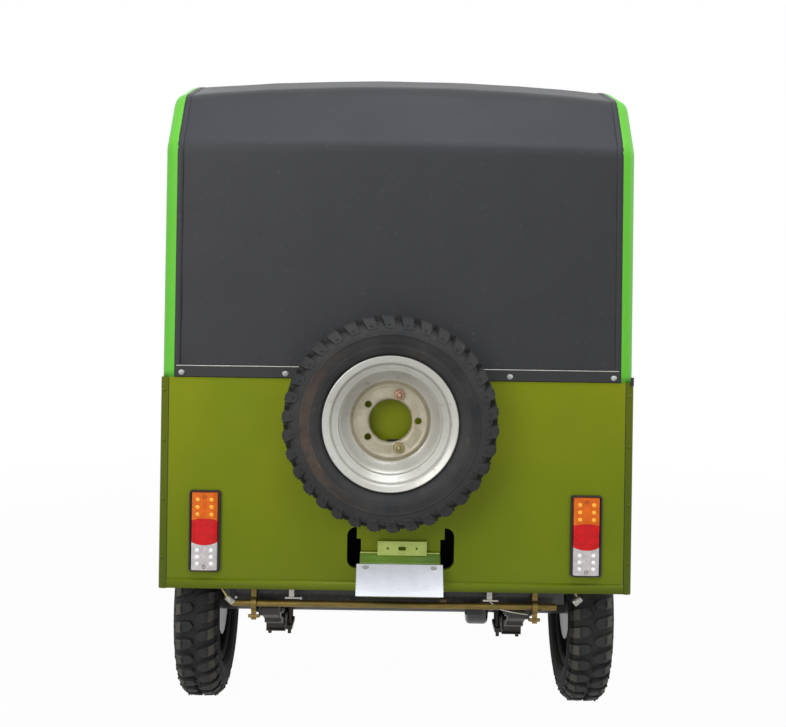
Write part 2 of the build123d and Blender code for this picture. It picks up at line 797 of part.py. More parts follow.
def nose_cowl():
    heights = [cowl_floor, cowl_waist, cowl_top]
    outer = loft([cowl_section(z, row) for z, row in zip(heights, cowl_shares)], ruled=True)
    heights = [cowl_floor - cut_overrun, cowl_waist, cowl_top - cowl_wall]
    rows = [cowl_section(z, row, cowl_wall, cut_overrun) for z, row in zip(heights, cowl_shares)]
    inner = loft(rows, ruled=True)
    arch = prism_x(
        [
            (foot_wall_y + arch_lead, 0),
            (overall_length, 0),
            (overall_length, tyre_diameter + arch_rise),
            (foot_wall_y + arch_lead, tyre_diameter + arch_rise),
        ],
        (-body_width, body_width),
        [0, 0, 0, arch_corner],
    )
    # The cabin side of the top is open as far as the dashboard
    opening_y = (cowl_back - cut_overrun, foot_wall_y + dash_setback)
    opening_half = cowl_half - opening_edge
    opening = block((-opening_half, opening_half), opening_y, (cowl_floor, cowl_top + cut_overrun))
    shell = outer - inner - arch - opening
    for x, z, radius, y in front_lamp_places():
        lamp_y = (y[0] - cut_overrun, y[1] + cut_overrun)
        shell = shell - both_sides(disc_y(lamp_y, radius + contact_gap, x, z))
    keep("nose_cowl", shell)


foot_wall_height = 238.0
foot_wall_edge = 42.0


def foot_wall():
    """Bulkhead between the driver's feet and the front wheel."""
    z = (floor_top + contact_gap, floor_top + foot_wall_height)
    foot_wall_half = cowl_half - foot_wall_edge
    wall_y = (foot_wall_y - foot_wall_sheet, foot_wall_y)
    keep("foot_bulkhead", block((-foot_wall_half, foot_wall_half), wall_y, z))


# Dashboard under the top of the cowl
dash_length = 113.0
dash_edge = 104.0
dash_depth = 70.0
dash_round = 24.0


def dashboard():
    top = cowl_top - contact_gap - cowl_wall
    back = foot_wall_y + dash_setback
    front = back + dash_length
    low = top - dash_depth
    corners = [(back, low), (front - dash_depth, low), (front - dash_round, top), (back, top)]
    dash_half = cowl_half - dash_edge
    radii = [dash_round / 2, dash_round / 2, 0, dash_round]
    keep("dashboard", prism_x(corners, (-dash_half, dash_half), radii))


# Front lamps, let into the slanted cheeks of the cowl
headlamp_drop = 190.0
headlamp_radius = 78.0
headlamp_depth = 152.0
indicator_drop = 125.0
indicator_radius = 27.0
indicator_depth = 57.0
lamp_wall = 6.0
lens_sheet = 6.0
# Places of the lamps, as shares of the cowl's half width and length
headlamp_x_share = 0.497
headlamp_y_share = 0.866
indicator_x_share = 0.795
indicator_y_share = 0.514


def front_lamp_places():
    """Rows of x, z, radius and the span in y, of the headlamp and the indicator."""
    headlamp_y = cowl_back + cowl_length * headlamp_y_share
    indicator_y = cowl_back + cowl_length * indicator_y_share
    headlamp_x, headlamp_z = cowl_half * headlamp_x_share, cowl_top - headlamp_drop
    indicator_x, indicator_z = cowl_half * indicator_x_share, cowl_top - indicator_drop
    return [
        (headlamp_x, headlamp_z, headlamp_radius, (headlamp_y - headlamp_depth, headlamp_y)),
        (indicator_x, indicator_z, indicator_radius, (indicator_y - indicator_depth, indicator_y)),
    ]


def front_lamps():
    housings = []
    for name, (x, z, radius, y) in zip(("headlamp", "indicator"), front_lamp_places()):
        cup = disc_y((y[1] - 2 * lens_sheet, y[1] + cut_overrun), radius - lamp_wall, x, z)
        housings.append(both_sides(disc_y(y, radius, x, z) - cup))
        lens_y = (y[1] - 2 * lens_sheet + contact_gap, y[1] - lens_sheet / 2)
        keep(name + "_lenses", both_sides(disc_y(lens_y, radius - lamp_wall - contact_gap, x, z)))
    keep("front_lamp_housings", joined(housings))


# Rear axle, leaf springs and their clamps
axle_radius = 30.0
gear_gap = 19.5
gear_width = 62.0
gear_radius = 62.0
backing_sheet = 6.0
brake_gap = 5.0
cam_radius = 8.0
cam_reach = 34.0
cam_setback = 58.0
cam_rise = 46.0
cam_arm_length = 52.0
cam_arm_width = 14.0
cam_arm_sheet = 6.0
spring_width = 45.0
leaf_sheet = 8.0
leaf_count = 4
spring_span = 656.0
eye_drop = 22.0
eye_radius = 17.0
clamp_half = 50.0
clamp_sheet = 12.0
clamp_margin = 14.0
cheek_sheet = 5.0
u_bolt_radius = 5.0
spring_x = rail_x
eye_z = rail_low - eye_drop
spring_low_z = tyre_radius - axle_radius - contact_gap - leaf_sheet * leaf_count


def rear_axle():
    z = tyre_radius
    reach = rear_wheel_x - drum_mouth - brake_gap
    pieces = [disc_x((-reach, reach), axle_radius, rear_axle_y, z)]
    stub = (reach, rear_wheel_x - drum_face - contact_gap)
    pieces.append(both_sides(disc_x(stub, stub_radius, rear_axle_y, z)))
    gear_end = spring_x - spring_width / 2 - clamp_margin - gear_gap
    gear = disc_x((gear_end - gear_width, gear_end), gear_radius, rear_axle_y, z)
    pieces.append(fillet(gear.edges().filter_by(GeomType.CIRCLE), gear_width / 5))
    pieces.append(both_sides(disc_x((reach - backing_sheet, reach), drum_radius, rear_axle_y, z)))
    keep("rear_axle", joined(pieces))
    # Each brake's cam comes through the backing plate, with its arm hanging to the rear
    arms = []
    cam_y, cam_z = rear_axle_y - cam_setback, z + cam_rise
    cam_x = reach - backing_sheet - contact_gap
    arms.append(disc_x((cam_x - cam_reach, cam_x), cam_radius, cam_y, cam_z))
    arm_x = (cam_x - cam_reach, cam_x - cam_reach + cam_arm_sheet)
    arm_y = (cam_y - cam_arm_width / 2, cam_y + cam_arm_width / 2)
    arms.append(block(arm_x, arm_y, (cam_z - cam_arm_length, cam_z)))
    keep("brake_cam_arms", both_sides(joined(arms)))


def spring_hangers():
    """Brackets under one rail that hold the two eyes of the spring."""
    x = (spring_x - spring_width / 2, spring_x + spring_width / 2)
    outer = (x[0] - cheek_sheet, x[1] + cheek_sheet)
    hangers = []
    for side in (-1, 1):
        y = rear_axle_y + side * spring_span / 2
        hanger = disc_x(outer, eye_radius, y, eye_z)
        hanger = hanger + block(outer, (y - eye_radius, y + eye_radius), (eye_z, rail_low))
        room_z = (0, eye_z + eye_radius + contact_gap)
        room_y = (y - spring_span / 4, y + spring_span / 4)
        room = block((x[0] - contact_gap, x[1] + contact_gap), room_y, room_z)
        hangers.append(hanger - room)
    return joined(hangers)


def leaf_springs():
    sag = eye_z - spring_low_z - leaf_sheet * leaf_count
    half_chord = spring_span / 2
    radius = (half_chord ** 2 + sag ** 2) / (2 * sag)
    centre_z = eye_z + radius - sag
    x = (spring_x - spring_width / 2, spring_x + spring_width / 2)
    leaves = []
    for i in range(leaf_count):
        leaf = disc_x(x, radius + leaf_sheet * (i + 1), rear_axle_y, centre_z)
        leaf = leaf - disc_x((0, half_width), radius + leaf_sheet * i, rear_axle_y, centre_z)
        reach = half_chord * (leaf_count - i) / leaf_count
        leaves.append(leaf & block(x, (rear_axle_y - reach, rear_axle_y + reach), (0, eye_z)))
    for side in (-1, 1):
        leaves.append(disc_x(x, eye_radius, rear_axle_y + side * half_chord, eye_z))
    keep("leaf_springs", both_sides(joined(leaves)))
    # Two U-bolts over the axle draw a plate up against the leaves
    plate_z = (spring_low_z - clamp_sheet - contact_gap, spring_low_z - contact_gap)
    plate_y = (rear_axle_y - clamp_half, rear_axle_y + clamp_half)
    clamps = [block((x[0] - clamp_margin, x[1] + clamp_margin), plate_y, plate_z)]
    leg = axle_radius + u_bolt_radius + contact_gap
    low, high = plate_z[0] - clamp_margin, tyre_radius + leg
    for bolt_x in (x[0] - u_bolt_radius - contact_gap, x[1] + u_bolt_radius + contact_gap):
        places = [(-leg, low), (-leg, high), (leg, high), (leg, low)]
        points = [(bolt_x, rear_axle_y + y, z) for y, z in places]
        clamps.append(tube(points, u_bolt_radius, bend=leg - contact_gap))
    keep("spring_clamps", both_sides(joined(clamps)))


# Brake cross shaft behind the rear cross member, with its levers
shaft_end_gap = 114.0
shaft_radius = 8.75
shaft_setback = 38.0
shaft_drop = 44.0
boss_inset = 55.0
boss_radius = 17.0
boss_half = 7.0
strap_width = 13.0
strap_sheet = 5.0
lever_drop = 26.0
lever_pin_radius = 4.5
lever_pin_half = 14.0
shaft_half = rear_wheel_x - shaft_end_gap
shaft_z = body_bottom - shaft_drop
boss_x = shaft_half - boss_inset


def brake_shaft():
    y = rear_y + shaft_setback
    low = shaft_z - boss_radius - lever_drop
    strap_x = (boss_x - strap_width / 2, boss_x + strap_width / 2)
    strap_y = (y - strap_sheet / 2, y + strap_sheet / 2)
    side = disc_x((boss_x - boss_half, boss_x + boss_half), boss_radius, y, shaft_z)
    side = side + block(strap_x, strap_y, (low, body_bottom - contact_gap))
    pin_x = (boss_x - lever_pin_half, boss_x + lever_pin_half)
    side = side + disc_x(pin_x, lever_pin_radius, y, low + lever_pin_radius * 2)
    shaft = disc_x((-shaft_half, shaft_half), shaft_radius, y, shaft_z)
    keep("brake_cross_shaft", shaft + both_sides(side))


# Battery and seats
seat_box_gap = 7.0
seat_box_height = 238.0
seat_wall = 15.0
battery_width = 600.0
battery_length = 300.0
battery_height = 200.0
cushion_gap = 50.0
partition_gap = 28.0
cushion_height = 100.0
cushion_round = 28.0
rest_thickness = 95.0
rest_height = 555.0
rest_lean = 55.0
deck_drop = 28.0
deck_sheet = 15.0
driver_half = 215.0
driver_cushion_height = 85.0
driver_rest_height = 335.0
driver_rest_thickness = 60.0
partition_radius = 14.0
partition_bar_radius = 11.0
partition_height = 738.0
partition_bend = 60.0
partition_bar_share = 0.66
seat_box_half = tub_inner - seat_box_gap
seat_box_top = floor_top + seat_box_height
cushion_half = inner_half - cushion_gap
deck_height = body_top - deck_drop
seat_box_back = rear_y + cabin_length * seat_back_share
seat_box_front = seat_box_back + seat_box_length
driver_front = foot_wall_y - cabin_length * driver_front_share
driver_back = driver_front - driver_seat_length
partition_y = driver_back - driver_rest_thickness + partition_bar_radius / 2


def padded_prism(points, x, rounding):
    """An upholstered block: a side profile with soft corners and soft ends."""
    pad = prism_x(points, x, rounding)
    ends = pad.faces().sort_by(Axis.X)
    return fillet(ends[0].edges() + ends[-1].edges(), rounding / 2)


def seats():
    low = floor_top + contact_gap
    battery_y = (seat_box_back + seat_box_front - battery_length) / 2
    battery_x = (-battery_width / 2, battery_width / 2)
    box_y = (battery_y, battery_y + battery_length)
    keep("battery_block", block(battery_x, box_y, (low, low + battery_height)))
    # Columns: name, half width, back, front
    rows = [
        ("passenger", seat_box_half, seat_box_back, seat_box_front),
        ("driver", driver_half, driver_back, driver_front),
    ]
    for name, half, back, front in rows:
        box = block((-half, half), (back, front), (low, seat_box_top))
        room_y = (back + seat_wall, front - seat_wall)
        room = block((seat_wall - half, half - seat_wall), room_y, (0, seat_box_top - seat_wall))
        keep(name + "_seat_base", box - room)
    low = seat_box_top + contact_gap
    rest_face = seat_box_back + rest_thickness / 2
    front = seat_box_front + cushion_overhang
    across = (-cushion_half, cushion_half)
    top = low + cushion_height
    profile = [(rest_face, low), (front, low), (front, top), (rest_face, top)]
    keep("passenger_cushion", padded_prism(profile, across, cushion_round))
    back_y = rest_face - contact_gap
    top = low + rest_height
    profile = [
        (back_y - rest_thickness, low),
        (back_y, low),
        (back_y - rest_lean, top),
        (back_y - rest_lean - rest_thickness, top),
    ]
    keep("passenger_backrest", padded_prism(profile, across, cushion_round))
    lean = rest_lean * (deck_height + deck_sheet - low) / rest_height
    rear_deck(back_y - rest_thickness - lean - contact_gap)
    across = (-driver_half, driver_half)
    top = low + driver_cushion_height
    profile = [(driver_back, low), (driver_front, low), (driver_front, top), (driver_back, top)]
    keep("driver_cushion", padded_prism(profile, across, cushion_round))
    rest_y = partition_y + partition_bar_radius + contact_gap
    low = top + contact_gap
    top = low + driver_rest_height
    face_y = rest_y + driver_rest_thickness
    profile = [(rest_y, low), (face_y, low), (face_y, top), (rest_y, top)]
    keep("driver_backrest", padded_prism(profile, across, cushion_round))


def rear_deck(front_y):
    """Shelf behind the backrest, with a board that closes the luggage space below it."""
    half = inner_half - contact_gap
    deck_y = (rear_y + panel_wall + contact_gap, front_y)
    deck = block((-half, half), deck_y, (deck_height, deck_height + deck_sheet))
    board_y = (front_y - deck_sheet, front_y)
    deck = deck + block((-half, half), board_y, (tyre_radius + arch_radius + contact_gap, deck_height))
    half = tub_inner - contact_gap
    keep("rear_deck", deck + block((-half, half), board_y, (floor_top + contact_gap, deck_height)))


def partition():
    """Hoop across the cabin behind the driver, with a bar at the driver's backrest."""
    x = inner_half - partition_gap
    foot = floor_top + contact_gap
    top = floor_top + partition_height
    y = partition_y
    points = [(-x, y, foot), (-x, y, top), (x, y, top), (x, y, foot)]
    hoop = tube(points, partition_radius, bend=partition_bend)
    bar = disc_x((-x, x), partition_bar_radius, partition_y, foot + partition_height * partition_bar_share)
    keep("partition_hoop", hoop + bar)


# Driver's controls: a brake pedal on the floor and a parking brake lever beside the seat
pedal_x = 190.0
pedal_width = 70.0
pedal_length = 60.0
pedal_foot_length = 44.0
pedal_sheet = 10.0
pedal_rise = 85.0
pedal_reach = 18.0
pedal_tilt = 35.0
pedal_setback = 52.0
pedal_arm_radius = 8.0
lever_x = 300.0
lever_setback = 425.0
lever_length = 300.0
lever_lean = 48.0
lever_radius = 9.0
lever_grip_radius = 14.0
lever_grip_length = 110.0
lever_foot_width = 32.0
lever_foot_length = 58.0


def driver_controls():
    low = floor_top + contact_gap
    foot_z = (low, low + pedal_sheet)
    pedal_y = foot_wall_y - pedal_setback
    foot_x = (pedal_x - pedal_width / 2, pedal_x + pedal_width / 2)
    foot_y = (pedal_y - pedal_foot_length / 2, pedal_y + pedal_foot_length / 2)
    pad_place = (pedal_x, pedal_y - pedal_reach, low + pedal_rise)
    arm = tube([(pedal_x, pedal_y, low + pedal_sheet / 2), pad_place], pedal_arm_radius)
    pedal = block(foot_x, foot_y, foot_z) + arm
    pad = Pos(*pad_place) * Rot(pedal_tilt, 0, 0) * Box(pedal_width, pedal_length, pedal_sheet)
    lever_y = foot_wall_y - lever_setback
    lean = math.radians(lever_lean)
    foot_x = (lever_x - lever_foot_width / 2, lever_x + lever_foot_width / 2)
    foot_y = (lever_y - lever_foot_length / 2, lever_y + lever_foot_length / 2)
    start = Vector(lever_x, lever_y, low + pedal_sheet)
    along = Vector(0, -math.sin(lean), math.cos(lean))
    end = start + along * lever_length
    lever = block(foot_x, foot_y, foot_z) + tube([start, end], lever_radius)
    lever = lever + tube([end - along * lever_grip_length, end], lever_grip_radius)
    keep("driver_controls", pedal + pad + lever)


# Front fork and handlebar, laid out along the steering axis
steering = Plane(origin=(0, steer_foot_y, steer_foot_z), x_dir=(1, 0, 0), z_dir=(0, -rake_slope, 1))
leg_x = 98.0
leg_radius = 20.0
slider_radius = 24.0
slider_top = 150.0
slider_foot = -34.0
leg_rise = 28.0
crown_height = 26.0
crown_half = 124.0
crown_back = 32.0
stem_top = 835.0
guard_gap = 26.0
guard_sheet = 4.0
guard_half = 70.0
guard_front_angle = 62.0
guard_rear_angle = -78.0
guard_steps = 5
bar_radius = 11.0
bar_half = 345.0
bar_back = 70.0
bar_bend = 70.0
grip_radius = 17.0
grip_length = 125.0
brake_lever_radius = 5.0
brake_lever_length = 150.0
brake_lever_gap = 52.0
crown_gap = 19.5
crown_low = tyre_radius + guard_gap + guard_sheet + crown_gap
leg_top = crown_low + crown_height + leg_rise


def fork():
    sliders, legs = [], []
    for side in (-1, 1):
        place = steering * Pos(side * leg_x, fork_offset, (slider_top + slider_foot) / 2)
        sliders.append(place * Cylinder(slider_radius, slider_top - slider_foot))
        place = steering * Pos(side * leg_x, fork_offset, (leg_top + slider_top + contact_gap) / 2)
        legs.append(place * Cylinder(leg_radius, leg_top - slider_top - contact_gap))
    sliders.append(disc_x((-leg_x, leg_x), front_axle_radius, front_axle_y, tyre_radius))
    keep("fork_sliders", joined(sliders))
    corners = [
        (-crown_half, fork_offset / 2),
        (-crown_half, fork_offset + crown_back),
        (crown_half, fork_offset + crown_back),
        (crown_half, fork_offset / 2),
        (crown_back, -crown_back),
        (-crown_back, -crown_back),
    ]
    outline = FilletPolyline(*corners, radius=crown_back / 2, close=True)
    crown = Pos(0, 0, crown_low) * extrude(make_face(outline.edges()), amount=crown_height)
    stem = Pos(0, 0, (crown_low + stem_top) / 2) * Cylinder(stem_radius, stem_top - crown_low)
    keep("fork_crown", joined(legs) + steering * (crown + stem))


def front_mudguard():
    """Sheet over the front tyre, hung from the crown by a bracket."""
    inner = tyre_radius + guard_gap
    rim = Rot(0, 90, 0) * Cylinder(inner + guard_sheet, guard_half * 2)
    hollow = Rot(0, 90, 0) * Cylinder(inner, guard_half * 2 + cut_overrun)
    corners = [(0.0, 0.0)]
    for i in range(guard_steps + 1):
        angle = math.radians(guard_rear_angle + (guard_front_angle - guard_rear_angle) * i / guard_steps)
        corners.append((inner * 2 * math.sin(angle), inner * 2 * math.cos(angle)))
    wedge = prism_x(corners, (-guard_half * 2, guard_half * 2))
    bracket_z = (inner, crown_low - contact_gap)
    bracket = block((-guard_half / 2, guard_half / 2), (-crown_back / 2, crown_back / 2), bracket_z)
    under = Rot(0, 90, 0) * Cylinder(inner + guard_sheet / 2, guard_half * 4)
    bracket = Pos(0, -fork_offset, 0) * bracket - under
    keep("front_mudguard", steering * Pos(0, fork_offset, 0) * ((rim - hollow & wedge) + bracket))


def handlebar():
    top = stem_top + bar_radius
    points = [
        (-bar_half, -bar_back, top),
        (-bar_half / 2, -bar_radius, top + bar_radius),
        (bar_half / 2, -bar_radius, top + bar_radius),
        (bar_half, -bar_back, top),
    ]
    bar = tube(points, bar_radius, bend=bar_bend)
    clamp_span = (-stem_radius * 2, stem_radius * 2)
    clamp = block(clamp_span, clamp_span, (stem_top + contact_gap, top + bar_radius))
    # A lever stands ahead of each grip, from a perch on the bar
    tip = (bar_half, brake_lever_gap - bar_back, top)
    root = (bar_half - brake_lever_length, brake_lever_gap - bar_back / 2, top)
    perch = (root[0], root[1] - brake_lever_gap, top)
    lever = tube([perch, root, tip], brake_lever_radius, bend=brake_lever_radius * 2)
    keep("handlebar", steering * (bar + clamp + both_sides(lever)))
    start, end = Vector(*points[0]), Vector(*points[1])
    run = (end - start).normalized()
    middle = start + run * (grip_length / 2 - bar_radius)
    grip = Plane(origin=middle, z_dir=run) * Cylinder(grip_radius, grip_length) - bar
    keep("handlebar_grips", steering * both_sides(grip))


def write_parts():
    os.makedirs("parts", exist_ok=True)
    for name, shape in parts.items():
        export_step(shape, os.path.join("parts", name + ".step"))


if __name__ == "__main__":
    wheels()
    spare_carrier()
    chassis()
    floor_and_sills()
    quarter_panels()
    rear_panel()
    tail_lamps()
    plate_bracket()
    canopy()
    clamp_strip()
    canopy_frame()
    windscreen()
    nose_cowl()
    foot_wall()
    dashboard()
    front_lamps()
    rear_axle()
    leaf_springs()
    brake_shaft()
    seats()
    partition()
    driver_controls()
    fork()
    front_mudguard()
    handlebar()
    write_parts()
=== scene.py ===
import json
import math

import bmesh
import bpy
from mathutils import Matrix, Vector, noise
from mathutils.bvhtree import BVHTree


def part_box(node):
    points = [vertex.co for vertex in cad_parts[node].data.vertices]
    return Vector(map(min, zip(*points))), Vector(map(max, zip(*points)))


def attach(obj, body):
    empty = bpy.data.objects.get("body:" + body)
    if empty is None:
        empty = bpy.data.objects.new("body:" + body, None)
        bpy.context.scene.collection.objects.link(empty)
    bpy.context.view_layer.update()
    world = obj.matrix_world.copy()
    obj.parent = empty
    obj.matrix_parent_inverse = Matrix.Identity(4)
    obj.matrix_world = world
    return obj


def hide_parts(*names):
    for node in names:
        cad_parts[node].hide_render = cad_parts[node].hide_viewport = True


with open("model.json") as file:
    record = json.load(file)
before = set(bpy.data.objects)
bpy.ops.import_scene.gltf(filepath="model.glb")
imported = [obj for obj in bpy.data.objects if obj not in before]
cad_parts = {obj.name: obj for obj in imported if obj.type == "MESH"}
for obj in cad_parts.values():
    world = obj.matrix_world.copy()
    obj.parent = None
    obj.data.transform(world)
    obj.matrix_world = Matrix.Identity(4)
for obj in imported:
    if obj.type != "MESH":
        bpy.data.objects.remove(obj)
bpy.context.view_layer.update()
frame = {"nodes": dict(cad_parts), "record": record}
nodes = frame["nodes"]
scene = bpy.context.scene

# the photograph's camera: behind the vehicle, a little to its left, held almost level
view = {"lens": 56.34, "place": (-0.015, -4.4405, 1.158), "roll": -0.83, "shiftY": -0.0906}

cameraData = bpy.data.cameras.new("camera")
cameraData.lens = view["lens"]
cameraData.shift_y = view["shiftY"]
cameraObject = bpy.data.objects.new("camera", cameraData)
cameraObject.location = view["place"]
cameraObject.rotation_euler = (math.radians(90), math.radians(view["roll"]), 0)
scene.collection.objects.link(cameraObject)
scene.camera = cameraObject
scene.view_settings.view_transform = "Standard"
print("camera placed")


class Wire:
    # a shader socket that can be used in sums

    def __init__(self, maker, socket):
        self.maker = maker
        self.socket = socket

    def sum(self, operation, first, second=None, third=None, clamp=False):
        inputs = {key: value for key, value in enumerate((first, second, third)) if value is not None}
        return self.maker.node("ShaderNodeMath", {"operation": operation, "use_clamp": clamp}, inputs)

    def __add__(self, other):
        return self.sum("ADD", self, other)

    __radd__ = __add__

    def __sub__(self, other):
        return self.sum("SUBTRACT", self, other)

    def __rsub__(self, other):
        return self.sum("SUBTRACT", other, self)

    def __mul__(self, other):
        return self.sum("MULTIPLY", self, other)

    def above(self, edge, soft):
        # 0 below the edge, 1 above it, with a soft step
        return self.sum("MULTIPLY_ADD", self, 1 / soft, 0.5 - edge / soft, clamp=True)

    def sine(self):
        return self.sum("SINE", self)

    def size(self):
        return self.sum("ABSOLUTE", self)


def linear(colour):
    # a screen colour of 0 to 255, as the shader wants it
    values = [c / 255 for c in colour]
    values = [v / 12.92 if v <= 0.04045 else ((v + 0.055) / 1.055) ** 2.4 for v in values]
    return (*values, 1)


class Finish:
    # one material, made from nodes by name

    sockets = {
        "colour": "Base Color", "rough": "Roughness", "metal": "Metallic", "coat": "Coat Weight",
        "coatRough": "Coat Roughness", "normal": "Normal", "sheen": "Sheen Weight", "sheenRough": "Sheen Roughness",
        "clear": "Transmission Weight", "alpha": "Alpha", "glow": "Emission Color", "glowPower": "Emission Strength",
        "ior": "IOR", "specular": "Specular IOR Level",
    }

    def __init__(self, name, slots=()):
        self.material = bpy.data.materials.new(name)
        self.material.use_nodes = True
        self.tree = self.material.node_tree
        self.shader = self.tree.nodes["Principled BSDF"]
        finishes[name] = self
        for slot in slots:
            slotFinish[slot] = self

    def node(self, kind, settings=None, inputs=None, output=0):
        made = self.tree.nodes.new(kind)
        for key, value in (settings or {}).items():
            setattr(made, key, value)
        for key, value in (inputs or {}).items():
            self.feed(made.inputs[key], value)
        return Wire(self, made.outputs[output])

    def feed(self, socket, value):
        if isinstance(value, Wire):
            self.tree.links.new(value.socket, socket)
        else:
            socket.default_value = value

    def place(self, scale=(1, 1, 1), turn=(0, 0, 0)):
        coords = self.node("ShaderNodeTexCoord", output="Object")
        return self.node("ShaderNodeMapping", None, {"Vector": coords, "Scale": scale, "Rotation": turn})

    def axes(self):
        split = self.node("ShaderNodeSeparateXYZ", None, {0: self.node("ShaderNodeTexCoord", output="Object")})
        return [Wire(self, split.socket.node.outputs[i]) for i in range(3)]

    def cloud(self, scale, detail=4, rough=0.6, stretch=(1, 1, 1), turn=(0, 0, 0)):
        inputs = {"Scale": scale, "Detail": detail, "Roughness": rough, "Vector": self.place(stretch, turn)}
        return self.node("ShaderNodeTexNoise", None, inputs)

    def cells(self, scale, feature="F1", stretch=(1, 1, 1)):
        return self.node("ShaderNodeTexVoronoi", {"feature": feature}, {"Vector": self.place(stretch), "Scale": scale})

    def blend(self, amount, first, second):
        colours = [linear(c) if isinstance(c, tuple) and len(c) == 3 else c for c in (first, second)]
        inputs = {0: amount, 6: colours[0], 7: colours[1]}
        return self.node("ShaderNodeMix", {"data_type": "RGBA"}, inputs, output=2)

    def bump(self, height, strength=0.3, distance=0.001, under=None):
        inputs = {"Height": height, "Strength": strength, "Distance": distance}
        if under:
            inputs["Normal"] = under
        return self.node("ShaderNodeBump", None, inputs)

    def set(self, **values):
        for key, value in values.items():
            self.feed(self.shader.inputs[self.sockets[key]], value)
        return self


finishes = {}
slotFinish = {}


def sprayed(name, slot, colour, shade, rough, coat, dust, dustColour):
    # sprayed paint: faint cloudiness, orange peel, dust that settles low, fine scuffs
    made = Finish(name, [slot])
    cloudy = made.cloud(3.2, 3, 0.5)
    base = made.blend(cloudy.above(0.5, 0.35), colour, shade)
    low = 1 - made.axes()[2].above(0.42, 0.5)
    dirt = low * made.cloud(140, 5, 0.7).above(0.52, 0.2) * dust
    base = made.blend(dirt, base, dustColour)
    scuff = made.cloud(60, 6, 0.75, (1, 1, 0.12)).above(0.66, 0.06)
    made.set(colour=base, rough=rough + dirt * 0.35 + scuff * 0.1 + cloudy * 0.05, coat=coat, coatRough=0.12,
             normal=made.bump(made.cloud(420, 2, 0.4), 0.12, 0.0004))


def mottled(name, slots, cloud, edge, colours, bump, **settings):
    # two tones in soft clouds, over one fine or coarse unevenness of the surface
    made = Finish(name, slots)
    tones = made.cloud(*cloud).above(*edge[:2])
    if len(edge) > 2:
        tones = tones * edge[2]
    if bump:
        settings["normal"] = made.bump(made.cloud(*bump[0]), *bump[1:])
    made.set(colour=made.blend(tones, *colours), **settings)


def paints():
    # body paint: olive with a fine flake, darker towards the bottom edge as painted shade, gently uneven as pressed
    # sheet is
    olive = Finish("olivePaint", ["olive_paint"])
    height = olive.axes()[2]
    # painted light and shade: the olive is lighter high up and darker low down
    base = olive.blend(height.above(0.66, 0.62), (98, 116, 3), (130, 140, 6))
    base = olive.blend(olive.cloud(1.8, 3, 0.5).above(0.5, 0.5) * 0.5, base, (142, 147, 12))
    base = olive.blend(olive.cloud(2.6, 2, 0.5, turn=(1, 2, 0)).above(0.56, 0.3) * 0.45, base, (84, 112, 6))
    base = olive.blend(olive.cloud(2400, 1, 0.5).above(0.62, 0.1) * 0.12, base, (160, 176, 60))
    # painted shade: the corner strips at the quarter panels' rear edges are darkened
    across = olive.axes()[0].size()
    corner = across.above(0.5885, 0.001) * (1 - olive.axes()[1].above(-1.2700, 0.004))
    base = olive.blend(corner * 0.6, base, (56, 66, 4))
    dust = (1 - height.above(0.43, 0.1)) * olive.cloud(90, 6, 0.7).above(0.5, 0.25)
    base = olive.blend(dust * 0.22, base, (122, 112, 70))
    scratch = olive.cloud(55, 6, 0.8, (1, 1, 0.05)).above(0.7, 0.03)
    dents = olive.bump(olive.cloud(2.2, 1, 0.4), 0.25, 0.005)
    olive.set(colour=base, rough=0.4 + dust * 0.25 + scratch * 0.08, metal=0.2, coat=0.08, coatRough=0.12, specular=0.15,
              normal=olive.bump(olive.cloud(380, 2, 0.4), 0.1, 0.0004, dents))

    sprayed("blackPaint", "black_paint", (27, 27, 28), (20, 20, 21), 0.42, 0.3, 0.4, (110, 102, 90))
    sprayed("springPaint", "spring_steel", (36, 35, 35), (27, 25, 25), 0.55, 0.1, 0.6, (92, 74, 55))

    floor = Finish("floorPaint", ["floor_paint"])
    x, y = floor.axes()[:2]
    studs = (((x + y) * 260).sine() * ((x - y) * 260).sine()).above(0.45, 0.15)
    wear = floor.cloud(9, 5, 0.65)
    base = floor.blend(wear.above(0.55, 0.2) * 0.5, (42, 42, 44), (74, 70, 64))
    floor.set(colour=base, rough=0.62 + wear * 0.15, normal=floor.bump(studs, 0.5, 0.0012))

    peel = ((400, 2, 0.4), 0.12, 0.0004)
    # the bracket's tray: a lighter green than the olive, as painted light
    mottled("trayGreenPaintedLight", (), (26, 4, 0.6), (0.5, 0.4), ((112, 158, 40), (126, 148, 64)), peel, rough=0.4, coat=0.2)
    mottled("primerPaint", ["primer_paint"], (30, 5, 0.6), (0.5, 0.3), ((172, 190, 84), (194, 208, 106)), peel,
            rough=0.36, metal=0.15, coat=0.3)

    plate = Finish("plateWhite", ["plate_white"])
    smudge = plate.cloud(26, 5, 0.65)
    base = plate.blend(smudge.above(0.58, 0.25) * 0.35, (248, 247, 254), (220, 218, 226))
    plate.set(colour=base, rough=0.3 + smudge * 0.15, coat=0.4, normal=plate.bump(plate.cloud(8, 2, 0.5), 0.2, 0.001))

    # wheel silver: a fine flake with brown spots of road dirt, and a beige bloom on the pressed middle
    silver = Finish("silverPaint", ["silver_paint"])
    base = silver.blend(silver.cloud(7, 4, 0.6).above(0.5, 0.4), (210, 207, 198), (190, 186, 174))
    base = silver.blend(silver.cloud(2200, 1, 0.5).above(0.6, 0.15) * 0.25, base, (236, 236, 238))
    spots = silver.cloud(46, 6, 0.72).above(0.63, 0.08)
    base = silver.blend(spots * 0.4, base, (138, 116, 88))
    silver.set(colour=base, rough=0.32 + spots * 0.3, metal=0.22, coat=0.25,
               normal=silver.bump(silver.cloud(420, 2, 0.5), 0.15, 0.0004))
    bloom = Finish("dustySilver")
    base = bloom.blend(bloom.cloud(22, 5, 0.65).above(0.5, 0.35), (190, 181, 158), (168, 158, 132))
    base = bloom.blend(bloom.cloud(80, 6, 0.7).above(0.62, 0.1) * 0.4, base, (122, 104, 76))
    bloom.set(colour=base, rough=0.5, metal=0.3, normal=bloom.bump(bloom.cloud(300, 3, 0.5), 0.15, 0.0004))


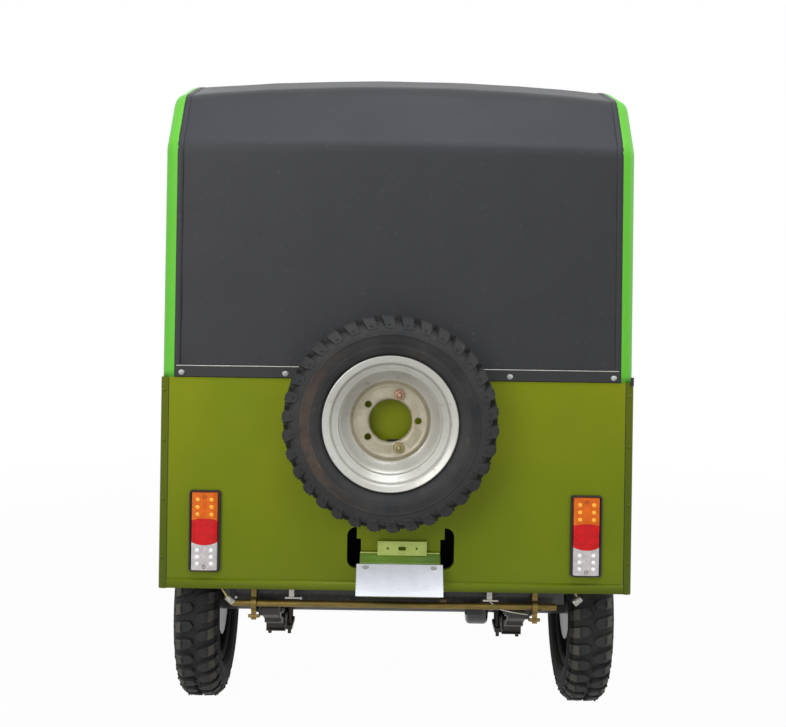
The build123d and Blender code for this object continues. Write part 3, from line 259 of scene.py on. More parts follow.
def metals():
    for name, slots, light, dark, rough, tint in (
        ("zincSteel", ["zinc_steel"], (200, 197, 190), (140, 138, 134), 0.3, (170, 160, 140)),
        ("yellowZinc", ["yellow_zinc"], (150, 126, 68), (96, 80, 40), 0.38, (104, 104, 58)),
        ("copperZinc", [], (196, 158, 134), (150, 112, 92), 0.36, (176, 142, 114)),
        ("goldZinc", [], (180, 168, 122), (140, 126, 84), 0.36, (160, 146, 100)),
        ("mattBronze", [], (104, 84, 64), (70, 58, 46), 0.5, (84, 60, 44)),
    ):
        steel = Finish(name, slots)
        streak = steel.cloud(120, 5, 0.65, (0.15, 1, 1))
        blotch = steel.cloud(34, 4, 0.6)
        base = steel.blend(streak.above(0.5, 0.5), light, dark)
        base = steel.blend(blotch.above(0.56, 0.2) * 0.5, base, tint)
        steel.set(colour=base, rough=rough + blotch * 0.2, metal=0.85, normal=steel.bump(streak, 0.12, 0.0004))
    chrome = Finish("chromeTrim", ["chrome_trim"])
    spots = chrome.cloud(70, 5, 0.7).above(0.66, 0.08)
    chrome.set(colour=chrome.blend(spots * 0.4, (206, 206, 210), (150, 146, 140)), rough=0.14 + spots * 0.3, metal=0.95,
               normal=chrome.bump(chrome.cloud(9, 2, 0.5), 0.05, 0.001))


def plastics():
    plastic = Finish("blackPlastic", ["black_plastic"])
    wear = plastic.cloud(14, 5, 0.6)
    base = plastic.blend(wear.above(0.55, 0.25) * 0.4, (24, 24, 26), (44, 44, 46))
    plastic.set(colour=base, rough=0.46 + wear * 0.12, normal=plastic.bump(plastic.cells(900), 0.18, 0.0003))

    # moulded lenses: rows of small prisms under a glossy face, with a faint glow of their own colour that is painted
    # light
    for name, slot, colour, deep in (
        ("amberLens", "amber_lens", (228, 108, 8), (196, 78, 4)),
        ("redLens", "red_lens", (214, 8, 12), (170, 6, 14)),
        ("clearLens", "clear_lens", (206, 198, 196), (168, 160, 156)),
    ):
        lens = Finish(name, [slot])
        x, z = lens.axes()[::2]
        prism = (x * 1366).sine() * (z * 1366).sine()
        shade = lens.blend(prism.above(0.1, 1.4), deep, colour)
        cloudy = lens.cloud(60, 3, 0.6)
        shade = lens.blend(cloudy.above(0.54, 0.3) * 0.35, shade, tuple(min(255, c * 1.12 + 10) for c in colour))
        lens.set(colour=shade, rough=0.24 + cloudy * 0.1, coat=0.15, coatRough=0.06, specular=0.2,
                 normal=lens.bump(prism, 0.5, 0.0009), glow=shade, glowPower=0.2)
    # the LED dots, the dial's face and the red needle and warning lights glow faintly: painted light
    for name, colour, deep, power in (
        ("amberDot", (255, 186, 40), (244, 150, 20), 0.3),
        ("clearDot", (246, 243, 244), (222, 218, 218), 0.3),
        ("dialFace", (232, 232, 226), (216, 216, 210), 0.05),
        ("signalRed", (206, 44, 34), (176, 34, 28), 0.05),
    ):
        dot = Finish(name)
        shade = dot.blend(dot.cloud(220, 3, 0.5).above(0.5, 0.4), colour, deep)
        dot.set(colour=shade, rough=0.24, coat=0.4, glow=shade, glowPower=power)

    glass = Finish("windowGlass", ["window_glass"])
    haze = glass.cloud(5, 4, 0.6)
    glass.set(colour=glass.blend(haze.above(0.5, 0.5), (228, 238, 234), (214, 226, 222)), rough=0.03, clear=1.0, ior=1.08,
              alpha=0.28 + haze.above(0.62, 0.2) * 0.08, coat=0.6)

    mottled("darkSeam", (), (50, 4, 0.6), (0.5, 0.4), ((20, 21, 16), (36, 36, 26)), None, rough=0.8)
    mottled("chalkWhite", (), (90, 4, 0.6), (0.5, 0.4), ((214, 214, 210), (176, 172, 164)), None, rough=0.5)


def rubbers():
    rubber = Finish("tyreRubber", ["tyre_rubber"])
    dust = rubber.cloud(11, 6, 0.7)
    base = rubber.blend(dust.above(0.52, 0.25) * 0.6, (40, 40, 41), (66, 63, 60))
    base = rubber.blend(rubber.cloud(26, 6, 0.75).above(0.64, 0.08) * 0.3, base, (112, 96, 76))
    rubber.set(colour=base, rough=0.66 + dust * 0.2, specular=0.4,
               normal=rubber.bump(rubber.cloud(620, 3, 0.6), 0.35, 0.0007))

    mottled("wornRubber", (), (34, 5, 0.7), (0.5, 0.4), ((104, 99, 88), (78, 75, 68)), ((500, 3, 0.6), 0.3, 0.0006),
            rough=0.8, specular=0.3)
    # a near black that is painted shade, for the rear wheels' inner halves and the rear tyres' inner walls
    mottled("paintedShadeBlack", (), (24, 5, 0.7), (0.5, 0.4), ((22, 21, 20), (40, 37, 34)), ((300, 3, 0.6), 0.3, 0.0006),
            rough=0.8, specular=0.2)
    mottled("blackRubber", ["black_rubber"], (40, 4, 0.6), (0.55, 0.3, 0.5), ((25, 25, 26), (44, 44, 44)),
            ((700, 2, 0.5), 0.3, 0.0005), rough=0.66)
    stained = Finish("stainedRubber")
    x, z = stained.axes()[::2]
    mark = (1 - x.above(-0.10, 0.14)) * (1 - (z - 0.81).size().above(0.15, 0.14))
    base = stained.blend(stained.cloud(11, 6, 0.7).above(0.52, 0.25) * 0.6, (40, 40, 41), (66, 63, 60))
    base = stained.blend(mark * stained.cloud(30, 6, 0.75).above(0.42, 0.3) * 0.8, base, (92, 76, 64))
    stained.set(colour=base, rough=0.78, specular=0.3, normal=stained.bump(stained.cloud(500, 3, 0.6), 0.3, 0.0006))


def cloths():
    # coated canvas: a fine plain weave under a satin coat, with a few paler rubs
    for name, slot, light, dark, thread, rough, mottle in (
        ("blackFabric", "black_fabric", (33, 33, 37), (27, 27, 30), (44, 44, 49), 0.48, 0.6),
        ("greenFabric", "green_fabric", (98, 198, 34), (84, 180, 28), (126, 212, 70), 0.42, 0.4),
    ):
        cloth = Finish(name, [slot])
        x, y, z = cloth.axes()
        pitch = 2 * math.pi / 0.0014
        weave = (x * pitch).sine() * ((z + y) * pitch).sine()
        cloudy = cloth.cloud(5, 4, 0.6)
        base = cloth.blend(cloudy.above(0.5, 0.5) * mottle, light, dark)
        base = cloth.blend(weave.above(0, 2.4) * 0.25, base, thread)
        base = cloth.blend(cloth.cloud(70, 6, 0.7).above(0.66, 0.1) * 0.1, base, (140, 138, 136))
        slack = cloth.bump(cloth.cloud(16, 3, 0.5, (1, 1, 0.6)), 0.1, 0.003)
        cloth.set(colour=base, rough=rough + cloudy * 0.12, coat=0.1, coatRough=0.36, specular=0.4, sheen=0.1, sheenRough=0.5,
                  normal=cloth.bump(weave, 0.22, 0.0003, slack))

    # vinyl upholstery with a leather grain, creased a little and polished where people sit
    vinyl = Finish("seatVinyl", ["seat_vinyl"])
    wear = vinyl.cloud(8, 5, 0.6)
    base = vinyl.blend(wear.above(0.52, 0.3), (40, 37, 35), (56, 51, 47))
    base = vinyl.blend(vinyl.cloud(3, 6, 0.8, (3, 1, 1)).above(0.68, 0.03) * 0.3, base, (84, 78, 72))
    grain = vinyl.cells(420, "DISTANCE_TO_EDGE").above(0.06, 0.12)
    vinyl.set(colour=base, rough=0.42 + wear * 0.16, coat=0.15, normal=vinyl.bump(grain, 0.35, 0.0005))

    mat = Finish("ribbedMat")
    base = mat.blend(mat.cloud(12, 5, 0.7).above(0.54, 0.2) * 0.6, (32, 32, 33), (46, 44, 41))
    mat.set(colour=base, rough=0.72, normal=mat.bump((mat.axes()[0] * 520).sine(), 0.6, 0.0015))


paints()
metals()
plastics()
rubbers()
cloths()
for subpart in frame["record"]["subparts"]:
    node = nodes[subpart["node"]]
    node.data.materials.clear()
    node.data.materials.append(slotFinish[subpart["material_slot"]].material)
    node.data.set_sharp_from_angle(angle=math.radians(32))
print("materials made")


def meshFrom(name, bm):
    # the finished mesh of a bmesh, which is then let go
    data = bpy.data.meshes.new(name)
    bm.to_mesh(data)
    bm.free()
    return data


# a pale floor that keeps the shadow, and a world that is plain white to the camera and in reflections
stage = {
    "floor": 40.0, "floorWhite": 0.975, "farEdge": 14.0, "sky": 0.6,
    "keyPower": 110, "rearPower": 88, "sidePower": 44, "frontPower": 60,
}

floorFinish = Finish("stageFloor")
shade = floorFinish.blend(floorFinish.cloud(1.2, 3, 0.5), (176, 176, 178), (168, 168, 170))
floorFinish.set(colour=shade, rough=0.95, specular=0.0)
rays = floorFinish.node("ShaderNodeLightPath").socket.node.outputs
seen = Wire(floorFinish, rays["Is Camera Ray"])
for ray in ("Is Glossy Ray", "Is Transmission Ray"):
    seen = seen.sum("MAXIMUM", seen, Wire(floorFinish, rays[ray]))
x, y = floorFinish.axes()[:2]
far = (x * x + y * y).above(stage["farEdge"], stage["farEdge"])
near = far * (1 - stage["floorWhite"]) + stage["floorWhite"]
white = floorFinish.node("ShaderNodeEmission", None, {"Color": (1, 1, 1, 1), "Strength": 1.0})
plain = Wire(floorFinish, floorFinish.shader.outputs[0])
mixed = floorFinish.node("ShaderNodeMixShader", None, {0: seen * near, 1: plain, 2: white})
floorFinish.feed(floorFinish.tree.nodes["Material Output"].inputs["Surface"], mixed)
floorMesh = bmesh.new()
bmesh.ops.create_grid(floorMesh, x_segments=2, y_segments=2, size=stage["floor"])
floorData = meshFrom("stageFloor", floorMesh)
floorObject = bpy.data.objects.new("stageFloor", floorData)
floorData.materials.append(floorFinish.material)
scene.collection.objects.link(floorObject)
floorData.transform(Matrix.Translation((0, 0, -0.0005)))

world = bpy.data.worlds.new("studio")
scene.world = world
world.use_nodes = True
sky = world.node_tree
sky.nodes.clear()
rays = sky.nodes.new("ShaderNodeLightPath")
seen = rays.outputs["Is Camera Ray"]
for ray in ("Is Glossy Ray", "Is Transmission Ray"):
    either = sky.nodes.new("ShaderNodeMath")
    either.operation = "MAXIMUM"
    sky.links.new(seen, either.inputs[0])
    sky.links.new(rays.outputs[ray], either.inputs[1])
    seen = either.outputs[0]
mixed = sky.nodes.new("ShaderNodeMixShader")
sky.links.new(seen, mixed.inputs[0])
for place, colour, strength in ((1, (0.90, 0.96, 1.0, 1), stage["sky"]), (2, (1, 1, 1, 1), 1.0)):
    light = sky.nodes.new("ShaderNodeBackground")
    light.inputs[0].default_value = colour
    light.inputs[1].default_value = strength
    sky.links.new(light.outputs[0], mixed.inputs[place])
sky.links.new(mixed.outputs[0], sky.nodes.new("ShaderNodeOutputWorld").inputs[0])


def lamp(name, place, aim, size, power, colour=(1, 1, 1)):
    data = bpy.data.lights.new(name, "AREA")
    data.shape = "DISK"
    data.size = size
    data.energy = power
    data.color = colour
    made = bpy.data.objects.new(name, data)
    made.location = place
    made.rotation_euler = (Vector(aim) - Vector(place)).to_track_quat("-Z", "Y").to_euler()
    scene.collection.objects.link(made)


lamp("topLight", (0.2, -3.3, 5.4), (0, -0.6, 1.0), 3.4, stage["keyPower"], (0.86, 0.93, 1.0))
lamp("rearLight", (-2.6, -5.6, 2.8), (0, -1.0, 0.8), 3.0, stage["rearPower"])
lamp("sideLight", (4.8, -0.6, 2.6), (0, 0, 0.8), 2.6, stage["sidePower"])
lamp("frontLight", (-2.4, 5.2, 2.8), (0, 0.6, 0.8), 2.6, stage["frontPower"])
print("stage lit")


def piece(name, bm, body, slot=None, finish=None, replaces=(), sharp=35, clean=True):
    # turns a bmesh into a piece that rides on its body
    if clean:
        bmesh.ops.remove_doubles(bm, verts=bm.verts[:], dist=1e-6)
        bmesh.ops.recalc_face_normals(bm, faces=bm.faces[:])
    data = meshFrom(name, bm)
    made = bpy.data.objects.new(name, data)
    scene.collection.objects.link(made)
    look = finishes[finish] if finish else slotFinish[slot]
    data.materials.append(look.material)
    data.shade_smooth()
    data.set_sharp_from_angle(angle=math.radians(sharp))
    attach(made, body)
    if replaces:
        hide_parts(*replaces)
    return made


def modify(made, kind, **settings):
    modifier = made.modifiers.new(kind.lower(), kind)
    for key, value in settings.items():
        setattr(modifier, key, value)
    return modifier


def moved(bm, verts, place=(0, 0, 0), turn=None):
    # turns, then shifts, what was just made
    verts = [v for v in verts if v.is_valid]
    if turn:
        bmesh.ops.rotate(bm, cent=(0, 0, 0), matrix=turn, verts=verts)
    bmesh.ops.translate(bm, vec=place, verts=verts)
    return verts


def towards(direction):
    # the turn that takes +Z to a direction
    return Vector(direction).to_track_quat("Z", "Y").to_matrix()


def bevelled(bm, edges, width, segments=2):
    made = bmesh.ops.bevel(bm, geom=edges, offset=width, segments=segments, profile=0.5, affect="EDGES", material=-1,
                           clamp_overlap=True)
    return [v for f in made["faces"] for v in f.verts]


def addSlab(bm, low, high, bevel=0.001, segments=2, turn=None):
    # a block from corner to corner with softened edges; a turn is about its own middle
    size, middle = Vector(high) - Vector(low), (Vector(high) + Vector(low)) / 2
    verts = bmesh.ops.create_cube(bm, size=1.0)["verts"]
    bmesh.ops.scale(bm, vec=size, verts=verts)
    if bevel:
        edges = list({e for v in verts for e in v.link_edges})
        verts = set(bevelled(bm, edges, bevel, segments)) | {v for v in verts if v.is_valid}
    return moved(bm, verts, middle, turn)


def addRod(bm, start, end, radius, sides=16, radiusEnd=None, bevel=0.0):
    # a round bar between two points
    start, end = Vector(start), Vector(end)
    run = end - start
    verts = bmesh.ops.create_cone(bm, cap_ends=True, segments=sides, radius1=radius,
                                  radius2=radius if radiusEnd is None else radiusEnd, depth=run.length)["verts"]
    if bevel:
        rims = list({e for v in verts for e in v.link_edges if abs(e.verts[0].co.z - e.verts[1].co.z) < 1e-6})
        verts = set(bevelled(bm, rims, bevel)) | {v for v in verts if v.is_valid}
    return moved(bm, verts, (start + end) / 2, towards(run))


def addLathe(bm, profile, steps=48, place=(0, 0, 0), toward=(0, 0, 1), closed=False):
    # turns a line of (radius, height) points about an axis
    verts = [bm.verts.new((radius, 0, height)) for radius, height in profile]
    pairs = list(zip(verts, verts[1:])) + ([(verts[-1], verts[0])] if closed else [])
    edges = [bm.edges.new(pair) for pair in pairs]
    before = set(bm.verts) - set(verts)
    bmesh.ops.spin(bm, geom=verts + edges, cent=(0, 0, 0), axis=(0, 0, 1), angle=2 * math.pi, steps=steps,
                   use_merge=True, use_duplicate=False)
    made = [v for v in bm.verts if v not in before]
    bmesh.ops.remove_doubles(bm, verts=[v for v in made if v.co.xy.length < 1e-5], dist=1e-4)
    return moved(bm, made, place, towards(toward))


def addScrew(bm, place, toward, size, cross=True):
    # a domed head, with a cross standing in for the recess's edges
    before = set(bm.verts)
    addLathe(bm, [(0.0, size * 0.44), (size * 0.4, size * 0.40), (size * 0.72, size * 0.29), (size * 0.94, size * 0.1),
                  (size, -size * 0.2), (0.0, -size * 0.2)], 20)
    if cross:
        for angle in (45, 135):
            addSlab(bm, (-size * 0.55, -size * 0.09, size * 0.3), (size * 0.55, size * 0.09, size * 0.45), 0,
                    turn=Matrix.Rotation(math.radians(angle), 3, "Z"))
    return moved(bm, [v for v in bm.verts if v not in before], place, towards(toward))


def addNut(bm, place, toward, across, height, stud=0.0, washer=0.0):
    # a chamfered hexagon nut, with its washer behind it and the stud's end through it
    before = set(bm.verts)
    addRod(bm, (0, 0, 0), (0, 0, height), across / 2 / math.cos(math.pi / 6), 6, bevel=height * 0.12)
    if washer:
        addLathe(bm, [(0.0, -0.0022), (washer, -0.0022), (washer, -0.0004), (washer * 0.94, 0.0004), (0.0, 0.0004)], 32)
    if stud:
        addRod(bm, (0, 0, height * 0.5), (0, 0, height * 1.45), stud, 20, bevel=stud * 0.2)
    return moved(bm, [v for v in bm.verts if v not in before], place, towards(toward))


def addBar(bm, points, radius, smooth=True, sides=5):
    # a bent bar along a line of points
    data = bpy.data.curves.new("bar", "CURVE")
    data.dimensions = "3D"
    data.bevel_depth = radius
    data.bevel_resolution = sides
    data.use_fill_caps = True
    data.resolution_u = 8
    line = data.splines.new("NURBS" if smooth else "POLY")
    line.points.add(len(points) - 1)
    for target, point in zip(line.points, points):
        target.co = (*point, 1)
    if smooth:
        line.order_u = 3
        line.use_endpoint_u = True
    curve = bpy.data.objects.new("bar", data)
    scene.collection.objects.link(curve)
    bpy.context.view_layer.update()
    mesh = bpy.data.meshes.new_from_object(curve)
    bpy.data.objects.remove(curve)
    bm.from_mesh(mesh)
    bpy.data.meshes.remove(mesh)


def mirrored(bm):
    # adds the other side's copy
    copy = bmesh.ops.duplicate(bm, geom=bm.verts[:] + bm.edges[:] + bm.faces[:])["geom"]
    bmesh.ops.scale(bm, vec=(-1, 1, 1), verts=[g for g in copy if isinstance(g, bmesh.types.BMVert)])
    bmesh.ops.reverse_faces(bm, faces=[g for g in copy if isinstance(g, bmesh.types.BMFace)])


def lineLength(line):
    return sum((b - a).length for a, b in zip(line, line[1:]))


def spaced(line, count):
    # points at even shares of a line's length
    lengths = [0.0]
    for a, b in zip(line, line[1:]):
        lengths.append(lengths[-1] + (b - a).length)
    out, index = [], 0
    for i in range(count + 1):
        target = lengths[-1] * i / count
        while index < len(lengths) - 2 and lengths[index + 1] < target:
            index += 1
        span = lengths[index + 1] - lengths[index]
        out.append(line[index].lerp(line[index + 1], (target - lengths[index]) / span if span else 0))
    return out


def thickened(made, centre, thickness):
    # turns an open sheet's faces away from a point inside the object, and gives it its thickness inwards
    data = made.data
    if sum((f.center - Vector(centre)).dot(f.normal) * f.area for f in data.polygons) < 0:
        data.flip_normals()
    modify(made, "SOLIDIFY", thickness=thickness, offset=-1)


def foldedStrip(name, profile, middle, half, centre, **look):
    # a thin pressed strip across the vehicle, bent along a line of (y, z) points
    bm = bmesh.new()
    last = len(profile) - 1
    for vert in bmesh.ops.create_grid(bm, x_segments=1, y_segments=last, size=1.0)["verts"]:
        vert.co = (middle + vert.co.x * half, *profile[round((vert.co.y + 1) / 2 * last)])
    thickened(piece(name, bm, "body", **look), centre, 0.0008)


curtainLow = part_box("canopy_rear_curtain")[0]

# the canopy's profile, as the hoops hold it; runs are from the curtain forward, heights from the ground
canopy = {
    "rearY": curtainLow.y, "foot": curtainLow.z, "frontY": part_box("canopy_roof")[1].y, "seamX": 0.576,
    "halfX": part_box("canopy_sides")[1].x, "round": 0.030, "lean": 0.008, "bendZ": 1.533, "shoulderRun": 0.118,
    "shoulderZ": 1.674, "crestRun": 0.350, "crestZ": 1.736, "apexRun": 0.869, "apexZ": 1.752, "headerZ": 1.700,
    "bendCrown": 0.010, "crown": 0.030, "cloth": 0.0018, "tape": 0.0012, "tapeWidth": 0.0165,
    "doorY": curtainLow.y + 0.744, "valanceZ": 1.560, "doorRound": 0.090,
}


def roofLine(crown):
    # the side profile of the fabric as a smooth line of (y, z), from the curtain's foot to the front
    c = canopy
    rise = c["crown"] * crown
    corners = [
        (c["rearY"], c["foot"], 0.0),
        (c["rearY"] + c["lean"], c["bendZ"] + c["bendCrown"] * crown, 0.040),
        (c["rearY"] + c["shoulderRun"], c["shoulderZ"] + rise, 0.060),
        (c["rearY"] + c["crestRun"], c["crestZ"] + rise, 0.400),
        (c["rearY"] + c["apexRun"], c["apexZ"] + rise, 0.900),
        (c["frontY"], c["headerZ"] + rise, 0.0),
    ]
    line = []
    for i, (y, z, bend) in enumerate(corners):
        here = Vector((y, z))
        if not bend:
            line.append(here)
            continue
        back = (Vector(corners[i - 1][:2]) - here).normalized()
        ahead = (Vector(corners[i + 1][:2]) - here).normalized()
        half = back.angle(ahead) / 2
        reach = bend / math.tan(half)
        centre = here + (back + ahead).normalized() * (bend / math.sin(half))
        for k in range(9):
            point = (here + back * reach).lerp(here + ahead * reach, k / 8) - centre
            line.append(centre + point.normalized() * bend)
    return line


def blackCanopy():
    # one continuous sheet from the clamp strip over the roof to the header
    c = canopy
    across, rows = 56, 150
    bm = bmesh.new()
    grid = bmesh.ops.create_grid(bm, x_segments=across, y_segments=rows, size=1.0)["verts"]
    seam = c["seamX"] + 0.002
    lines = {}
    for vert in grid:
        column, row = round((vert.co.x + 1) / 2 * across), round((vert.co.y + 1) / 2 * rows)
        x = -seam + 2 * seam * column / across
        key = min(column, across - column)
        if key not in lines:
            lines[key] = spaced(roofLine(max(0.0, 1 - (x / c["seamX"]) ** 2)), rows)
        y, z = lines[key][row]
        # tension folds fan up from the strip's screws and in from the seams; the roof sags a little between the hoops
        up, edge = max(0.0, z - c["foot"]), abs(x) / seam
        slack = noise.noise(Vector((x * 7, y * 2, z * 1.4))) * 0.003
        slack += math.sin(x * 62 + noise.noise(Vector((x * 3, 0, z * 2))) * 5) * 0.0012 * math.exp(-up / 0.09)
        slack += math.sin(z * 30 + x * 7) * 0.0012 * max(0.0, edge - 0.72) / 0.28
        if z > c["bendZ"] + 0.03:
            run = y - c["rearY"]
            spans = ((0.0, c["shoulderRun"]), (c["shoulderRun"], c["apexRun"]), (c["apexRun"], c["frontY"] - c["rearY"]))
            span = next((s for s in spans if s[0] <= run <= s[1]), spans[-1])
            sag = math.sin(math.pi * min(1, (run - span[0]) / (span[1] - span[0])))
            slack = abs(slack) * 0.6 + 0.004 * (1 - edge ** 2) * sag
            vert.co = (x, y, z - slack - 0.0005)
        else:
            vert.co = (x, y + abs(slack) + 0.0003, z)
    replaced = ("canopy_roof", "canopy_rear_curtain")
    made = piece("blackCanopy", bm, "body", "black_fabric", replaces=replaced, clean=False)
    thickened(made, (0, -0.3, 1.4), c["cloth"])
    lineLength(roofLine(1))


def greenSide(side, name):
    # one sheet: from the seam, round the edge and down, cut out round the doorways
    c = canopy
    rail, steps, drops = spaced(roofLine(0), 150), 7, 26
    bm = bmesh.new()
    columns = steps + 1 + drops
    bmesh.ops.create_grid(bm, x_segments=columns, y_segments=len(rail) - 1, size=1.0)
    for vert in bm.verts:
        column, row = round((vert.co.x + 1) / 2 * columns), round((vert.co.y + 1) / 2 * (len(rail) - 1))
        ahead = rail[min(row + 1, len(rail) - 1)] - rail[max(row - 1, 0)]
        inward = Vector((ahead.y, -ahead.x)).normalized()
        if column <= steps + 1:
            turn = math.pi / 2 * max(0, column - 1) / steps
            x = c["seamX"] + c["round"] * math.sin(turn) - (0.012 if column == 0 else 0)
            y, z = rail[row] + inward * (c["round"] * (1 - math.cos(turn)) - 0.0003)
        else:
            y, top = rail[row] + inward * c["round"]
            reach = min(1.0, max(0.0, (c["doorY"] + c["doorRound"] - y) / c["doorRound"]))
            low = c["foot"] if y < c["doorY"] else c["valanceZ"] - c["doorRound"] * (1 - math.sqrt(1 - reach ** 2))
            share = (column - steps - 1) / drops
            z = top + (min(low, top - 0.01) - top) * share
            bulge = abs(noise.noise(Vector((y * 5, z * 3, side * 2)))) * 0.0022
            ripple = abs(math.sin(z * 21 + y * 3)) * 0.0012 * math.exp(-max(0.0, y - c["rearY"]) / 0.05)
            x = c["halfX"] - bulge - ripple - 0.0003
        vert.co = (side * x, y, z)
    made = piece(name, bm, "body", "green_fabric", replaces=("canopy_sides",))
    thickened(made, (0, made.data.vertices[0].co.y, 1.3), c["cloth"])


def canopyTrim(side, name):
    # a stitched tape over the seam, and a rolled hem round the doorway's edge and along the valance
    c = canopy
    bm = bmesh.new()
    rows = 130
    rail = spaced(roofLine(0), rows)
    grid = bmesh.ops.create_grid(bm, x_segments=4, y_segments=rows, size=1.0)["verts"]
    section = ((-0.018, 0.0004), (-0.016, 0.0013), (-0.010, 0.0016), (-0.004, 0.0013), (-0.002, 0.0004))
    for vert in grid:
        column, row = round((vert.co.x + 1) * 2), round((vert.co.y + 1) / 2 * rows)
        ahead = rail[min(row + 1, rows)] - rail[max(row - 1, 0)]
        out = -Vector((ahead.y, -ahead.x)).normalized()
        x, lift = section[column]
        vert.co = (side * (c["seamX"] + x), *(rail[row] + out * lift))
    made = piece("seamTape" + name, bm, "body", "black_fabric")
    thickened(made, (0, -0.3, 1.3), c["tape"])
    lineLength(rail)

    # the hem's cord runs up the doorway, round its corner and along the valance to the front
    x, y, z = side * (c["halfX"] - 0.002), c["doorY"], c["valanceZ"]
    bend = c["doorRound"]
    points = [(x, y, c["foot"] + 0.01), (x, y, c["foot"] + 0.3), (x, y, z - bend), (x, y + 0.02, z - 0.02), (x, y + bend, z),
              (x, y + 0.6, z), (x, c["frontY"] - 0.01, z)]
    bm = bmesh.new()
    addBar(bm, points, 0.0042, sides=4)
    piece("doorHem" + name, bm, "body", "green_fabric", sharp=60)


def canopyDetails():
    # rows of stitches along the seams, and the strip's pale lip, screws and tab
    c = canopy
    bm = bmesh.new()
    rail = spaced(roofLine(0), 360)
    for side in (-1, 1):
        for row in range(2, 358, 2):
            run = rail[row + 1] - rail[row]
            out = -Vector((run.y, -run.x)).normalized()
            for x in (-0.0155, -0.0045):
                place = rail[row] + out * 0.0018
                at = side * (c["seamX"] + x)
                verts = addSlab(bm, (at - 0.0004, -0.0022, -0.0003), (at + 0.0004, 0.0022, 0.0003), 0)
                moved(bm, verts, (0, place.x, place.y), Matrix.Rotation(math.atan2(run.y, run.x), 3, "X"))
    piece("seamStitches", bm, "body", finish="blackRubber", clean=False)

    stripLow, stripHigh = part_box("curtain_clamp_strip")
    bm = bmesh.new()
    y, z = stripLow.y + 0.004, stripHigh.z + 0.0008
    addBar(bm, [(stripLow.x + 0.004, y, z), (0, y + 0.0005, z + 0.0008), (stripHigh.x - 0.004, y, z)], 0.0013, sides=3)
    piece("stripLip", bm, "body", finish="zincSteel", sharp=60)
    bm = bmesh.new()
    z = (stripLow.z + stripHigh.z) / 2 - 0.002
    washer = [(0.0, -0.001), (0.0074, -0.001), (0.0076, 0.0004), (0.0, 0.001)]
    for x in (-0.554, -0.288, 0.288, 0.554):
        addScrew(bm, (x, stripLow.y - 0.0004, z), (0, -1, 0), 0.0062)
        addLathe(bm, washer, 24, (x, stripLow.y + 0.0008, z), (0, -1, 0))
    piece("stripScrews", bm, "body", finish="chalkWhite")
    bm = bmesh.new()
    addSlab(bm, (0.597, stripLow.y + 0.001, 0.926), (0.606, stripLow.y + 0.0045, 0.948), 0.001)
    piece("stripTab", bm, "body", finish="blackPlastic")


blackCanopy()
for side, name in ((-1, "Left"), (1, "Right")):
    greenSide(side, "greenSide" + name)
    canopyTrim(side, name)
canopyDetails()
print("canopy sewn")


# the tyre's radius and the count of lugs round each side, and the wheel's bolts
tyre = {"radius": 0.2685, "lugs": 34}
wheel = {"bolts": 5, "boltCircle": 0.070}


def withFaces(verts):
    # verts with all the edges and faces on them
    return list(verts) + list({e for v in verts for e in v.link_edges}) + list({f for v in verts for f in v.link_faces})


